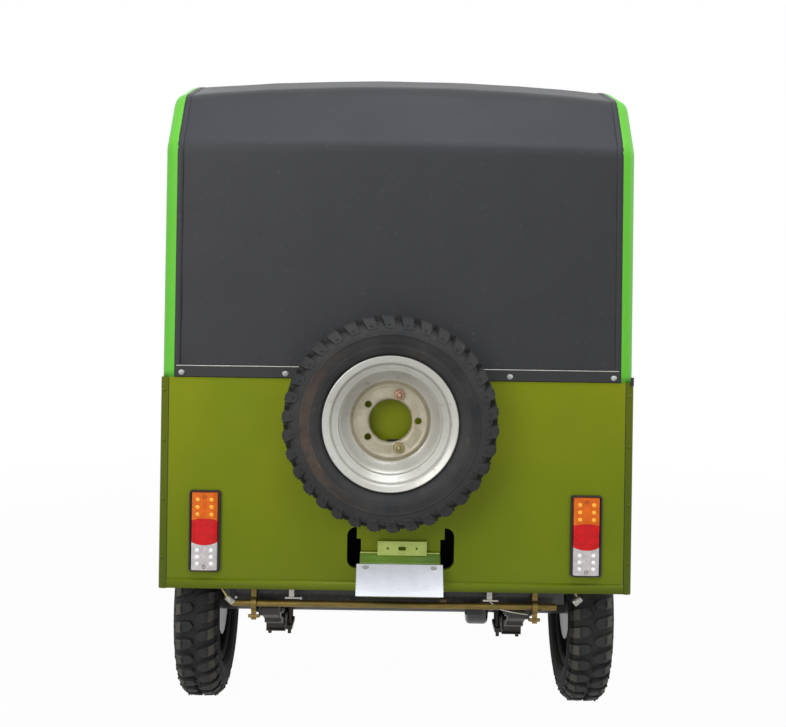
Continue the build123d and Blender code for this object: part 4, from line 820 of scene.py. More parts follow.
def tyreMesh():
    # carcass by a spin, tread blocks repeated round it; built about the Z axis, then laid along X
    bm = bmesh.new()
    side = [
        (0.0388, 0.1546), (0.0390, 0.1660), (0.0402, 0.1712), (0.0436, 0.1742), (0.0470, 0.1758), (0.0500, 0.1790),
        (0.0532, 0.1838), (0.0562, 0.1892), (0.0574, 0.1918), (0.0572, 0.1934), (0.0590, 0.1985), (0.0606, 0.2060),
        (0.0612, 0.2150), (0.0614, 0.2190), (0.0624, 0.2205), (0.0622, 0.2224), (0.0610, 0.2238), (0.0602, 0.2300),
        (0.0590, 0.2350), (0.0572, 0.2382), (0.0545, 0.2415), (0.0490, 0.2462), (0.0400, 0.2505), (0.0200, 0.2545),
        (0.0, 0.2552),
    ]
    profile = [(radius, x) for x, radius in side] + [(radius, -x) for x, radius in side[-2::-1]]
    addLathe(bm, profile, 96, closed=True)
    # one lug: a tapering top that ends in a blunt point near the middle, and a cheek that slopes down the shoulder
    # corners are (across, share of the pitch, radius at the top, radius at the foot)
    top = tyre["radius"]
    lug = [
        (0.0034, 0.27, top, 0.252), (0.0110, 0.06, top, 0.252), (0.0220, -0.02, top - 0.0004, 0.251),
        (0.0365, -0.08, top - 0.0020, 0.248), (0.0510, -0.16, top - 0.0128, 0.240), (0.0592, -0.20, top - 0.0300, 0.2340),
        (0.0592, 0.30, top - 0.0300, 0.2340), (0.0510, 0.42, top - 0.0128, 0.240), (0.0365, 0.50, top - 0.0020, 0.248),
        (0.0230, 0.56, top - 0.0004, 0.251), (0.0110, 0.52, top, 0.252),
    ]
    pitch = 2 * math.pi / tyre["lugs"]
    before = set(bm.verts)

    def corner(share, radius, across):
        return bm.verts.new((radius * math.cos(share * pitch), radius * math.sin(share * pitch), across))

    upper = [corner(share, radius, across) for across, share, radius, foot in lug]
    lower = [corner(share, foot, across * 0.985 - 0.0006) for across, share, radius, foot in lug]
    count = len(lug)
    for k in range(count):
        bm.faces.new((lower[k], lower[(k + 1) % count], upper[(k + 1) % count], upper[k]))
    for ring, order in ((upper, 1), (lower, -1)):
        for quad in ((0, 1, 10), (1, 2, 9, 10), (2, 3, 8, 9), (3, 4, 7, 8), (4, 5, 6, 7)):
            bm.faces.new([ring[k] for k in quad][::order])

    def spot(across, share, radius, size, tilt):
        verts = addSlab(bm, -Vector(size) / 2, Vector(size) / 2, 0)
        moved(bm, verts, (radius, 0, across), Matrix.Rotation(math.radians(tilt), 3, "Y"))
        moved(bm, verts, turn=Matrix.Rotation(share * pitch, 3, "Z"))

    # the square nib that the mould leaves on the lug's cheek, and a low bar across its top
    spot(0.0552, 0.12, 0.2484, (0.0050, 0.0055, 0.0034), 28)
    spot(0.0360, 0.20, top - 0.0014, (0.0036, 0.017, 0.0022), 8)
    fresh = [v for v in bm.verts if v not in before]
    bmesh.ops.recalc_face_normals(bm, faces=list({f for v in fresh for f in v.link_faces}))
    # the other side's lug is the same one turned half round, a pitch on
    copied = bmesh.ops.duplicate(bm, geom=withFaces(fresh))["geom"]
    copy = [g for g in copied if isinstance(g, bmesh.types.BMVert)]
    moved(bm, copy, turn=Matrix.Rotation(math.pi, 3, "X"))
    moved(bm, copy, turn=Matrix.Rotation(pitch, 3, "Z"))
    both = fresh + copy
    bmesh.ops.spin(bm, geom=withFaces(both), cent=(0, 0, 0), axis=(0, 0, 1), angle=2 * math.pi, steps=tyre["lugs"],
                   use_duplicate=True)
    bmesh.ops.delete(bm, geom=both, context="VERTS")
    moved(bm, bm.verts[:], turn=Matrix.Rotation(math.radians(90), 3, "Y"))
    bmesh.ops.remove_doubles(bm, verts=bm.verts[:], dist=1e-6)
    bmesh.ops.recalc_face_normals(bm, faces=bm.faces[:])
    return bm


def rimMesh():
    # pressed steel wheel about the Z axis: rolled flanges, drop well, dished disc with five bolt holes
    bm = bmesh.new()
    half = [
        (0.1320, 0.0100), (0.1300, 0.0128), (0.1308, 0.0158), (0.1336, 0.0176), (0.1366, 0.0206), (0.1424, 0.0252),
        (0.1462, 0.0276), (0.1480, 0.0304), (0.1484, 0.0350), (0.1500, 0.0392), (0.1540, 0.0424), (0.1596, 0.0444),
        (0.1646, 0.0462), (0.1664, 0.0472), (0.1680, 0.0466), (0.1690, 0.0448), (0.1686, 0.0424), (0.1660, 0.0404),
        (0.1580, 0.0394), (0.1545, 0.0380), (0.1538, 0.0340), (0.1532, 0.0270), (0.1500, 0.0240), (0.1400, 0.0175),
        (0.1368, 0.0150), (0.1360, 0.0110),
    ]
    ring = half + [(0.1360, 0.0)] + [(radius, -height) for radius, height in half[::-1]] + [(0.1320, 0.0)]
    addLathe(bm, ring, 112, closed=True)
    bmesh.ops.recalc_face_normals(bm, faces=bm.faces[:])
    disc = boltHoles(discMesh())
    bm.from_mesh(disc)
    bpy.data.meshes.remove(disc)
    return bm


def discMesh():
    # the disc, dished towards the negative side: cone, valley, raised crown and the rolled edge of the hub hole
    bm = bmesh.new()
    face = [
        (0.1325, -0.0150), (0.1296, -0.0172), (0.1262, -0.0196), (0.1220, -0.0244), (0.1160, -0.0312), (0.1100, -0.0370),
        (0.1062, -0.0402), (0.1030, -0.0416), (0.1002, -0.0406), (0.0978, -0.0372), (0.0950, -0.0336), (0.0918, -0.0320),
        (0.0884, -0.0330), (0.0850, -0.0352), (0.0700, -0.0358), (0.0640, -0.0352), (0.0590, -0.0352), (0.0560, -0.0366),
        (0.0545, -0.0390),
    ]
    back = [(radius - 0.0012, height - 0.0046) for radius, height in face[::-1]]
    addLathe(bm, face + back, 120, closed=True)
    # pressed ribs swell between the bolt holes
    for vert in bm.verts:
        radius, angle = vert.co.xy.length, math.atan2(vert.co.y, vert.co.x)
        swell = max(0.0, 0.5 - 0.9 * math.cos(wheel["bolts"] * (angle - math.pi / 2)))
        vert.co.z += 0.0026 * min(1.0, swell) * max(0.0, 1 - ((radius - 0.0645) / 0.0085) ** 2)
    bmesh.ops.recalc_face_normals(bm, faces=bm.faces[:])
    return meshFrom("rimDisc", bm)


def boltHoles(mesh):
    # five holes through the disc, cut with round bars that flare at the seat
    cutter = bmesh.new()
    flared = [(0.0, 0.012), (0.0124, 0.012), (0.0112, 0.0028), (0.0082, 0.0), (0.0082, -0.012), (0.0, -0.012)]
    for i in range(wheel["bolts"]):
        angle = 2 * math.pi * i / wheel["bolts"] + math.pi / 2
        place = (wheel["boltCircle"] * math.cos(angle), wheel["boltCircle"] * math.sin(angle), -0.0376)
        addLathe(cutter, flared, 28, place)
    bmesh.ops.recalc_face_normals(cutter, faces=cutter.faces[:])
    tool = bpy.data.objects.new("boltCutter", meshFrom("boltCutter", cutter))
    blank = bpy.data.objects.new("rimBlank", mesh)
    scene.collection.objects.link(tool)
    scene.collection.objects.link(blank)
    modify(blank, "BOOLEAN", object=tool, solver="EXACT")
    bpy.context.view_layer.update()
    cut = bpy.data.meshes.new_from_object(blank.evaluated_get(bpy.context.evaluated_depsgraph_get()))
    for helper in (tool, blank):
        bpy.data.objects.remove(helper)
    return cut


def faceRings(made, centre, axis, *dirt):
    # adds finishes for dirt and painted shade, and gives each face with its place along the wheel's axis and out from
    # it
    for finish in dirt:
        made.data.materials.append(finishes[finish].material)
    for face in made.data.polygons:
        offset = face.center - centre
        along = offset.dot(axis)
        yield face, along, (offset - axis * along).length


def dustAndShadeOnRim(made, centre, axis, shadedInside):
    # the pressed middle of each wheel keeps its road dust; the rear wheels' inner halves are painted black as painted
    # shade
    for face, along, radius in faceRings(made, centre, axis, "dustySilver", "paintedShadeBlack"):
        facing = face.normal.x * math.copysign(1, centre.x)
        reach = 0.006 if facing > 0.1 else 0.050 if facing > -0.05 else 0.2
        # painted shade: the rear wheels' inner halves take the near black
        if shadedInside and abs(face.center.x) < abs(centre.x) + reach:
            face.material_index = 2
        elif radius < 0.102 and abs(along) > 0.03:
            face.material_index = 1


def wearAndShadeOnTyre(made, centre, axis, spare):
    # scuffed cheeks on the blocks that roll, inner walls of the rear tyres painted black as painted shade, and a
    # stained ring on the spare's left
    for face, along, radius in faceRings(made, centre, axis, "wornRubber", "paintedShadeBlack", "stainedRubber"):
        if spare:
            if 0.1960 < radius < 0.2245:
                face.material_index = 3
        elif 0.0365 < abs(along) < 0.0520 and radius > 0.2560 and abs(face.normal.dot(axis)) > 0.3:
            face.material_index = 1
        # painted shade: the rear tyres' inner walls take the near black
        elif centre.x and radius < 0.2440 and (face.center.x - centre.x) * centre.x < -0.03 * abs(centre.x):
            face.material_index = 2


def fitWheels():
    masters = [meshFrom("master", bm) for bm in (tyreMesh(), rimMesh())]
    upright = Matrix.Rotation(math.radians(90), 3, "Y")
    for name, body, degrees in (("spare", "body", -90), ("front", "front_wheel", 0), ("rear_left", "rear_wheel_left", 0),
                                ("rear_right", "rear_wheel_right", 180)):
        low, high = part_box("tyre_" + name)
        middle, turn = (low + high) / 2, Matrix.Rotation(math.radians(degrees), 3, "Z")
        axis = turn @ Vector((1, 0, 0))
        label = "".join(part.capitalize() for part in name.split("_"))
        for kind, master, slot in (("tyre", masters[0], "tyre_rubber"), ("rim", masters[1], "silver_paint")):
            bm = bmesh.new()
            bm.from_mesh(master)
            if kind == "rim":
                moved(bm, bm.verts[:], turn=upright)
            moved(bm, bm.verts[:], middle, turn)
            made = piece(kind + label, bm, body, slot, replaces=(kind + "_" + name,), sharp=32, clean=False)
            if kind == "rim":
                dustAndShadeOnRim(made, middle, axis, name.startswith("rear"))
            else:
                wearAndShadeOnTyre(made, middle, axis, name == "spare")
        if name == "spare":
            continue
        # the valve stands in the barrel, near the disc
        bm = bmesh.new()
        addRod(bm, (0, 0, 0), (0.020, 0, 0.004), 0.0058, 16, 0.0050, bevel=0.0008)
        addRod(bm, (0.019, 0, 0.004), (0.034, 0, 0.007), 0.0034, 14, bevel=0.0005)
        addRod(bm, (0.031, 0, 0.0064), (0.040, 0, 0.0082), 0.0044, 12, bevel=0.0006)
        moved(bm, bm.verts[:], (-0.010, 0, 0.124))
        moved(bm, bm.verts[:], turn=Matrix.Rotation(math.radians(132), 3, "X"))
        moved(bm, bm.verts[:], middle, turn)
        piece("valve" + label, bm, body, finish="blackRubber")


fitWheels()
print("wheels fitted")


# heights and bows of the lenses' boundaries, and what each lamp needs beside them
tailLamps = {
    "middle": 0.4882, "face": -1.2995, "half": 0.0326, "back": -1.2832, "bezelHalf": 0.0385, "bezelY": -1.2912,
    "foot": 0.4361, "top": 0.6439,
    "lenses": (
        ("amber", (0.6392, 0.0), (0.5680, 0.0053)),
        ("red", (0.5680, 0.0053), (0.5130, -0.0076)),
        ("clear", (0.5130, -0.0076), (0.4412, 0.0)),
    ),
}
tailLenses = {}


def tailLamp(side, name):
    # lenses with curved boundaries, LED dots, prisms and screws, in a thin black gap
    middle, face, half = side * tailLamps["middle"], tailLamps["face"], tailLamps["half"]
    for colour, top, foot in tailLamps["lenses"]:
        bm = bmesh.new()
        for vert in bmesh.ops.create_grid(bm, x_segments=12, y_segments=10, size=1.0)["verts"]:
            u, v = vert.co.x, (vert.co.y + 1) / 2
            arcTop, arcFoot = (height + bow * (1 - u * u) for height, bow in (top, foot))
            z = arcFoot + 0.0003 + (arcTop - arcFoot - 0.0006) * v
            swell = 0.0022 * (1 - u ** 4) - 0.0016 * max(0.0, abs(u) - 0.86) / 0.14
            vert.co = (middle + u * half, face - swell, z)
        bmesh.ops.recalc_face_normals(bm, faces=bm.faces[:])
        if sum(f.normal.y for f in bm.faces) > 0:
            bmesh.ops.reverse_faces(bm, faces=bm.faces[:])
        rim = [e for e in bm.edges if e.is_boundary]
        made = bmesh.ops.extrude_edge_only(bm, edges=rim)["geom"]
        deep = [g for g in made if isinstance(g, bmesh.types.BMVert)]
        for vert in deep:
            vert.co.y = tailLamps["back"]
        bmesh.ops.contextual_create(bm, geom=[g for g in made if isinstance(g, bmesh.types.BMEdge)])
        tailLenses.setdefault(colour, []).append(bm)
    # the lamps behind: two columns of three dots in the amber and in the clear part
    bead = [(0.0, 0.0021), (0.0026, 0.0018), (0.0048, 0.0008), (0.0055, -0.0006), (0.0, -0.0006)]
    head = [(0.0, -0.0010), (0.0048, -0.0010), (0.0050, 0.0004), (0.0040, 0.0010), (0.0036, -0.0002), (0.0, -0.0002)]
    for finish, low, high, screwZ in (("amberDot", 0.5841, 0.6219, 0.6290), ("clearDot", 0.4580, 0.4926, 0.4505)):
        bm = bmesh.new()
        for share in (0.235, 0.775):
            for k in range(3):
                place = (middle + (share - 0.5) * 2 * half, face - 0.0018, low + (high - low) * k / 2)
                addLathe(bm, bead, 20, place, (0, -1, 0))
        piece(finish + name, bm, "body", finish=finish)
        bm = bmesh.new()
        addLathe(bm, head, 20, (middle, face - 0.0018, screwZ), (0, -1, 0))
        start, end = (middle - 0.0030, face - 0.0024, screwZ - 0.0005), (middle + 0.0030, face - 0.0016, screwZ + 0.0005)
        addSlab(bm, start, end, 0)
        piece(finish + "Screw" + name, bm, "body", finish="mattBronze")
    # ring prisms down the middle of the amber and clear parts, rows of flat ones at the red part's sides
    ring = [(0.0046, -0.001), (0.0046, 0.0004), (0.0054, 0.0011), (0.0062, 0.0004), (0.0062, -0.001)]
    for finish, heights in (("amberLens", (0.5860, 0.6000, 0.6140)), ("clearLens", (0.4640, 0.4770, 0.4900))):
        bm = bmesh.new()
        for z in heights:
            addLathe(bm, ring, 24, (middle, face - 0.0020, z), (0, -1, 0), closed=True)
        piece(finish + "Rings" + name, bm, "body", finish=finish)
    bm = bmesh.new()
    for column in (-5, -4, -3, 3, 4, 5):
        for row in range(7):
            x, z = middle + column * 0.0055, 0.5175 + row * 0.0070
            addSlab(bm, (x - 0.0022, face - 0.0022, z - 0.0028), (x + 0.0022, face - 0.0008, z + 0.0028), 0.0005, 1)
    piece("redPrisms" + name, bm, "body", finish="redLens")
    # a bead round the bezel's edge
    bm = bmesh.new()
    edge, low, high = tailLamps["bezelHalf"], tailLamps["foot"], tailLamps["top"]
    loop = [(-edge, low + 0.006), (-edge, high - 0.006), (0.006 - edge, high - 0.0015), (edge - 0.006, high - 0.0015),
            (edge, high - 0.006), (edge, low + 0.006), (edge - 0.006, low + 0.0015), (0.006 - edge, low + 0.0015)]
    addBar(bm, [(middle + x, tailLamps["bezelY"], z) for x, z in loop + loop[:1]], 0.0016, smooth=False, sides=3)
    piece("bezelBead" + name, bm, "body", finish="blackPlastic")


def rearTrim():
    # seams between the rear panel and its corners, the panel's rolled bottom edge, and its small fixings
    bm = bmesh.new()
    for side in (-1, 1):
        addSlab(bm, (side * 0.587 - 0.0010, -1.2829, 0.394), (side * 0.587 + 0.0010, -1.2805, 0.932), 0)
    piece("cornerSeams", bm, "body", finish="darkSeam")
    fold = [(-1.2827, 0.4172), (-1.2836, 0.4160), (-1.2862, 0.4142),
            (-1.2880, 0.4118), (-1.2889, 0.4088), (-1.2889, 0.3925)]
    foldedStrip("bottomRoll", fold, 0, 0.5855, (0, -1.0, 0.41), slot="olive_paint")
    bm = bmesh.new()
    for side in (-1, 1):
        for z in (0.47, 0.62, 0.77, 0.90):
            addScrew(bm, (side * 0.598, -1.2830, z), (0, -1, 0), 0.0046, cross=False)
    piece("cornerRivets", bm, "body", "olive_paint")
    # the spare's nuts: one copper coloured over one gold, each on a broad washer
    for name, finish, z in (("upperNut", "copperZinc", 0.8995), ("lowerNut", "goldZinc", 0.7665)):
        bm = bmesh.new()
        addNut(bm, (0.005, -1.3360, z), (0, -1, 0), 0.0185, 0.0105, 0.0052, 0.0136)
        piece(name, bm, "body", finish=finish, replaces=("spare_nuts",) if name == "upperNut" else ())
    # the plate's two cross-head screws, and the dents round the older holes; the plate slopes by rise over run
    run, rise = 0.0605, 0.0679
    tilt = Vector((0, -rise, -0.060)).normalized()
    dimple = [(0.0, -0.001), (0.0028, -0.001), (0.0028, 0.0006), (0.0018, 0.0010), (0.0012, 0.0004), (0.0, 0.0004)]
    bm = bmesh.new()
    for x in (-0.0745, 0.0985):
        addScrew(bm, (x, -1.3125, 0.4560), tilt, 0.0080)
    piece("plateScrews", bm, "body", finish="zincSteel")
    bm = bmesh.new()
    for x, share in ((-0.072, 0.62), (0.086, 0.66), (-0.026, 0.5), (0.024, 0.54), (0.008, 0.78)):
        addLathe(bm, dimple, 16, (x, -1.3042 - run * share, 0.4648 - rise * share), tilt)
    piece("plateDimples", bm, "body", "plate_white")
    # a pale bar along the bracket's fold is a painted highlight, over the tray that runs down to the plate, which is
    # painted a lighter green as painted light
    bm = bmesh.new()
    addBar(bm, [(-0.090, -1.2846, 0.4895), (0.114, -1.2846, 0.4895)], 0.0019, smooth=False, sides=3)
    piece("bracketFoldHighlight", bm, "body", finish="primerPaint")
    tray = [(-1.2848, 0.4885), (-1.2900, 0.4790), (-1.3000, 0.4690), (-1.3045, 0.4660)]
    foldedStrip("bracketTray", tray, 0.012, 0.102, (0, -1.2, 0.3), finish="trayGreenPaintedLight")


for side, name in ((-1, "Left"), (1, "Right")):
    tailLamp(side, name)
for colour, halves in tailLenses.items():
    whole = bmesh.new()
    for half in halves:
        data = meshFrom("half", half)
        whole.from_mesh(data)
        bpy.data.meshes.remove(data)
    piece(colour + "LensPair", whole, "body", colour + "_lens", replaces=("tail_lens_" + colour,))
rearTrim()
print("rear trimmed")


def underside():
    # silver clamps at the rod's ends, a gold arm to one of them, and pale brackets under the floor
    bm = bmesh.new()
    collar = [(0.0040, -0.012), (0.0088, -0.012), (0.0100, -0.009), (0.0100, 0.009), (0.0088, 0.012), (0.0040, 0.012)]
    for side, x, z in ((-1, -0.4256, 0.3545), (1, 0.4750, 0.3637)):
        addLathe(bm, collar, 28, (x, -1.2445, z), (1, 0, side * 0.9), closed=True)
        addNut(bm, (x, -1.2540, z + 0.001), (0, -1, 0), 0.010, 0.005, 0.003, 0.007)
    piece("rodClamps", bm, "body", finish="zincSteel")
    bm = bmesh.new()
    addBar(bm, [(-0.4500, -1.246, 0.3885), (-0.4420, -1.250, 0.3760), (-0.4320, -1.252, 0.3620)], 0.0036, sides=4)
    addBar(bm, [(0.4790, -1.2445, 0.3660), (0.4700, -1.2460, 0.3830), (0.4660, -1.2460, 0.3900)], 0.0030, sides=4)
    piece("clampArm", bm, "body", finish="goldZinc")
    bm = bmesh.new()
    for x0, x1 in ((-0.2735, -0.2595), (0.2395, 0.2535)):
        addSlab(bm, (x0, -1.2520, 0.3640), (x1, -1.2460, 0.3860), 0.0010)
        addSlab(bm, (x0 - 0.010, -1.2540, 0.3600), (x1 + 0.016, -1.2440, 0.3645), 0.0010)
    piece("greyBrackets", bm, "body", finish="zincSteel")
    bm = bmesh.new()
    for x in (-0.2420, -0.4097):
        addScrew(bm, (x, -1.2560, 0.3626), (0, -1, 0), 0.0036, cross=False)
    piece("bracketDots", bm, "body", finish="chalkWhite")

    # a short tube and its clip, and the small rubber stop beside the right spring
    bm = bmesh.new()
    addSlab(bm, (0.184, -1.2400, 0.3210), (0.230, -1.2180, 0.3430), 0.0030)
    addRod(bm, (0.3380, -1.2400, 0.3440), (0.3790, -1.2400, 0.3440), 0.0108, 20, bevel=0.002)
    piece("rubberStop", bm, "body", finish="blackRubber")
    bm = bmesh.new()
    addRod(bm, (0.3420, -1.2440, 0.3440), (0.3830, -1.2440, 0.3440), 0.0086, 20, bevel=0.0012)
    addSlab(bm, (0.118, -1.2540, 0.3560), (0.136, -1.2440, 0.3660), 0.0020)
    piece("brownTube", bm, "body", finish="mattBronze")

    # spring eyes with their bolts, shackle plates and the leaves' rebound clips
    springs = {"x": 0.325, "eyes": (-1.2175, -0.5575), "eyeZ": 0.3235, "clips": (-1.035, -0.740), "clipZ": 0.2475}
    bm = bmesh.new()
    for x in (-springs["x"], springs["x"]):
        for y in springs["eyes"]:
            z = springs["eyeZ"]
            addRod(bm, (x - 0.0340, y, z), (x + 0.0340, y, z), 0.0062, 18, bevel=0.001)
            for end in (-1, 1):
                plate = x + end * 0.0265
                addSlab(bm, (plate - 0.0018, y - 0.017, 0.3060), (plate + 0.0018, y + 0.017, 0.3440), 0.0010)
                addNut(bm, (x + end * 0.0284, y, z), (end, 0, 0), 0.016, 0.007, 0.0042, 0.0108)
    piece("eyeBolts", bm, "body", finish="blackPaint")
    bm = bmesh.new()
    for x in (-springs["x"], springs["x"]):
        for y in springs["clips"]:
            z = springs["clipZ"]
            for cheek in (x - 0.0250, x + 0.0250):
                addSlab(bm, (cheek - 0.0016, y - 0.009, z - 0.026), (cheek + 0.0016, y + 0.009, z + 0.020), 0.0006)
            addSlab(bm, (x - 0.0265, y - 0.009, z - 0.0290), (x + 0.0265, y + 0.009, z - 0.0255), 0.0006)
            addRod(bm, (x - 0.029, y, z + 0.014), (x + 0.029, y, z + 0.014), 0.0034, 14, bevel=0.0006)
    piece("springClips", bm, "body", "spring_steel")

    # a short earth wire beside the right spring, fixed at both ends
    bm = bmesh.new()
    route = [(0.246, -1.2500, 0.3620), (0.262, -1.2500, 0.3440), (0.300, -1.2480, 0.3320), (0.3465, -1.2470, 0.3265)]
    addBar(bm, route, 0.0016, sides=3)
    piece("earthWire", bm, "body", finish="zincSteel")


underside()
print("underside fitted")


def padded(who, part, low, high, corner, puff, cell):
    # a block of foam under vinyl: remeshed finely and blown up a little by cloth pressure
    bm = bmesh.new()
    addSlab(bm, low, high, corner, 4)
    made = piece(who + part, bm, "body", "seat_vinyl", replaces=(who + "_" + part.lower(),), sharp=60)
    modify(made, "REMESH", mode="VOXEL", voxel_size=cell)
    applied(made)
    bm = bmesh.new()
    bm.from_mesh(made.data)
    bmesh.ops.smooth_vert(bm, verts=bm.verts[:], factor=0.5, use_axis_x=True, use_axis_y=True, use_axis_z=True)
    bm.to_mesh(made.data)
    bm.free()
    flat = [vert.co.copy() for vert in made.data.vertices]
    cloth = modify(made, "CLOTH").settings
    cloth.quality = 4
    cloth.use_pressure = True
    cloth.uniform_pressure_force = 4
    cloth.tension_stiffness = cloth.compression_stiffness = 30
    cloth.effector_weights.gravity = 0
    for step in range(1, 21):
        scene.frame_set(step)
    applied(made)
    scene.frame_set(1)
    for vert, start in zip(made.data.vertices, flat):
        shift = vert.co - start
        vert.co = start + shift * min(1.0, puff / max(shift.length, 1e-6))
    return made


def applied(made):
    # settles the modifiers into the mesh
    bpy.context.view_layer.update()
    mesh = bpy.data.meshes.new_from_object(made.evaluated_get(bpy.context.evaluated_depsgraph_get()))
    old = made.data
    made.modifiers.clear()
    made.data = mesh
    bpy.data.meshes.remove(old)
    mesh.name = made.name
    mesh.shade_smooth()


def channels(made, lines, along, depth, width, limits):
    # stitched channels pull the cover down in soft grooves along one axis
    low, high = limits
    for vert in made.data.vertices:
        if not low <= vert.co[along[1]] * along[2] <= high:
            continue
        near = min(abs(vert.co[along[0]] - line) for line in lines)
        if near < width:
            fall = 0.5 + 0.5 * math.cos(math.pi * near / width)
            vert.co[along[1]] -= along[2] * depth * fall


def piping(name, pad, corners, radius=0.0040):
    # a welted cord sewn round a cushion's edge, drawn on to the cover
    faces = [face.vertices[:] for face in pad.data.polygons]
    cover = BVHTree.FromPolygons([vert.co for vert in pad.data.vertices], faces)
    points = []
    for point in spaced([Vector(corner) for corner in corners + corners[:1]], 120)[:-1]:
        place, normal = cover.find_nearest(point)[:2]
        points.append(place + normal * radius * 0.4)
    bm = bmesh.new()
    addBar(bm, points + points[:2], radius, smooth=False, sides=3)
    piece(name, bm, "body", "seat_vinyl", sharp=60)


def rounded(low, high, bend, fixed, where, axis):
    # a rectangle with round corners, as points in the plane that crosses an axis
    other = [k for k in range(3) if k != axis]
    points = []
    for sx, sy, start in ((1, 1, 0), (-1, 1, 90), (-1, -1, 180), (1, -1, 270)):
        cx = (high if sx > 0 else low)[other[0]] - sx * bend
        cy = (high if sy > 0 else low)[other[1]] - sy * bend
        for k in range(5):
            angle = math.radians(start + 22.5 * k)
            point = Vector((fixed, fixed, fixed))
            point[other[0]], point[other[1]] = cx + bend * math.cos(angle), cy + bend * math.sin(angle)
            points.append(tuple(where(point)))
    return points


def leant(low, high):
    # the backrest leans back: its foot is forward by the box's spare depth
    depth = 0.060
    lean = (high.y - low.y) - depth

    def shift(point):
        share = (point.z - low.z) / (high.z - low.z)
        return Vector((point.x, point.y - lean * share, point.z))
    return depth, shift


def seats():
    def finished(pad, start, end, up, skin, shift=lambda point: point):
        # the sewn channels run across the side that people sit on or lean against
        lines = [start.x + (end.x - start.x) * (k + 1) / (ribs + 1) for k in range(ribs)]
        channels(pad, lines, (0, up, 1), 0.007, 0.022, (end[up] - skin, 9))
        for vert in pad.data.vertices:
            vert.co = shift(vert.co)
        held(pad, low, high)
        modify(pad, "SUBSURF", levels=1, render_levels=1)

    for who, gap, ribs, puff, cell in (("passenger", 0.010, 8, 0.014, 0.011), ("driver", 0.008, 3, 0.012, 0.008)):
        low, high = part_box(who + "_cushion")
        inset = Vector((gap, gap, 0))
        start, end = low + inset, high - inset - Vector((0, 0, gap))
        pad = padded(who, "Cushion", start, end, 0.026, puff, cell)
        finished(pad, start, end, 2, 0.03)
        for level, label in ((end.z - 0.014, "Upper"), (start.z + 0.010, "Lower")):
            piping(who + "Piping" + label, pad, rounded(low, high, 0.030, level, lambda point: point, 2))

        low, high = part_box(who + "_backrest")
        depth, shift = leant(low, high) if who == "passenger" else (high.y - low.y, lambda point: point)
        start = Vector((low.x + gap, high.y - depth + 0.004, low.z + 0.002))
        end = Vector((high.x - gap, high.y - 0.004, high.z - gap))
        pad = padded(who, "Backrest", start, end, 0.022, 0.010, cell)
        finished(pad, start, end, 1, 0.02, shift)
        start, end = start - Vector((0.006, 0, 0)), end + Vector((0.006, 0, 0.006))
        piping(who + "Welt", pad, rounded(start, end, 0.024, end.y - 0.012, shift, 1))


def held(made, low, high):
    # keeps the blown cover inside the room that the seat was given
    for vert in made.data.vertices:
        for k in range(3):
            vert.co[k] = min(high[k] - 0.0005, max(low[k] + 0.0005, vert.co[k]))


def cabinTrim():
    # ribbed mats on the floor, tread strips along the sills, and the sleeve round the grab rail
    pitch = 0.016
    for name, half, back, front in (("driverMat", 0.40, 0.44, 0.780), ("passengerMat", 0.50, -0.40, 0.010)):
        bm = bmesh.new()
        low, high = Vector((-half, back, 0.4024)), Vector((half, front, 0.4064))
        addSlab(bm, low, high, 0.0012)
        for k in range(int((high.x - low.x) / pitch) - 1):
            x = low.x + pitch * (k + 1)
            addSlab(bm, (x - 0.003, back + 0.012, high.z - 0.0006), (x + 0.003, front - 0.012, high.z + 0.0016), 0)
        piece(name, bm, "body", finish="ribbedMat")
    bm = bmesh.new()
    for side in (-1, 1):
        for k in range(5):
            x = side * (0.5915 + 0.0032 * k)
            addSlab(bm, (x - 0.0009, -0.36, 0.4018), (x + 0.0009, 0.68, 0.4036), 0)
    piece("sillStrips", bm, "body", finish="zincSteel")

    # a sleeve round the partition's rail, with five beads
    bm = bmesh.new()
    y, z = 0.0377, 1.1406
    bead = [(0.0195, -0.004), (0.0222, -0.003), (0.0226, 0.0), (0.0222, 0.003), (0.0195, 0.004)]
    addBar(bm, [(-0.30, y, z), (0.30, y, z)], 0.0205, smooth=False, sides=6)
    for x in (-0.30, -0.15, 0.0, 0.15, 0.30):
        addLathe(bm, bead, 28, (x, y, z), (1, 0, 0), closed=True)
    piece("railSleeve", bm, "body", "black_rubber")

    # seat box: pressed louvres for the battery's air, and two hasps
    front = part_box("passenger_seat_base")[1].y
    bm = bmesh.new()
    for k in range(6):
        x = -0.10 + 0.04 * k
        for z in (0.50, 0.52, 0.54):
            addSlab(bm, (x - 0.013, front - 0.002, z), (x + 0.013, front + 0.0045, z + 0.007), 0.0016)
    piece("seatBoxLouvres", bm, "body", "olive_paint")
    bm = bmesh.new()
    for x in (-0.32, 0.32):
        addSlab(bm, (x - 0.016, front - 0.001, 0.585), (x + 0.016, front + 0.003, 0.622), 0.001)
        addRod(bm, (x - 0.018, front + 0.0035, 0.604), (x + 0.018, front + 0.0035, 0.604), 0.0036, 16, bevel=0.0006)
        for z in (0.592, 0.616):
            for across in (x - 0.009, x + 0.009):
                addScrew(bm, (across, front + 0.003, z), (0, 1, 0), 0.003)
    piece("seatBoxHasps", bm, "body", finish="zincSteel")


seats()
cabinTrim()
print("cabin fitted")


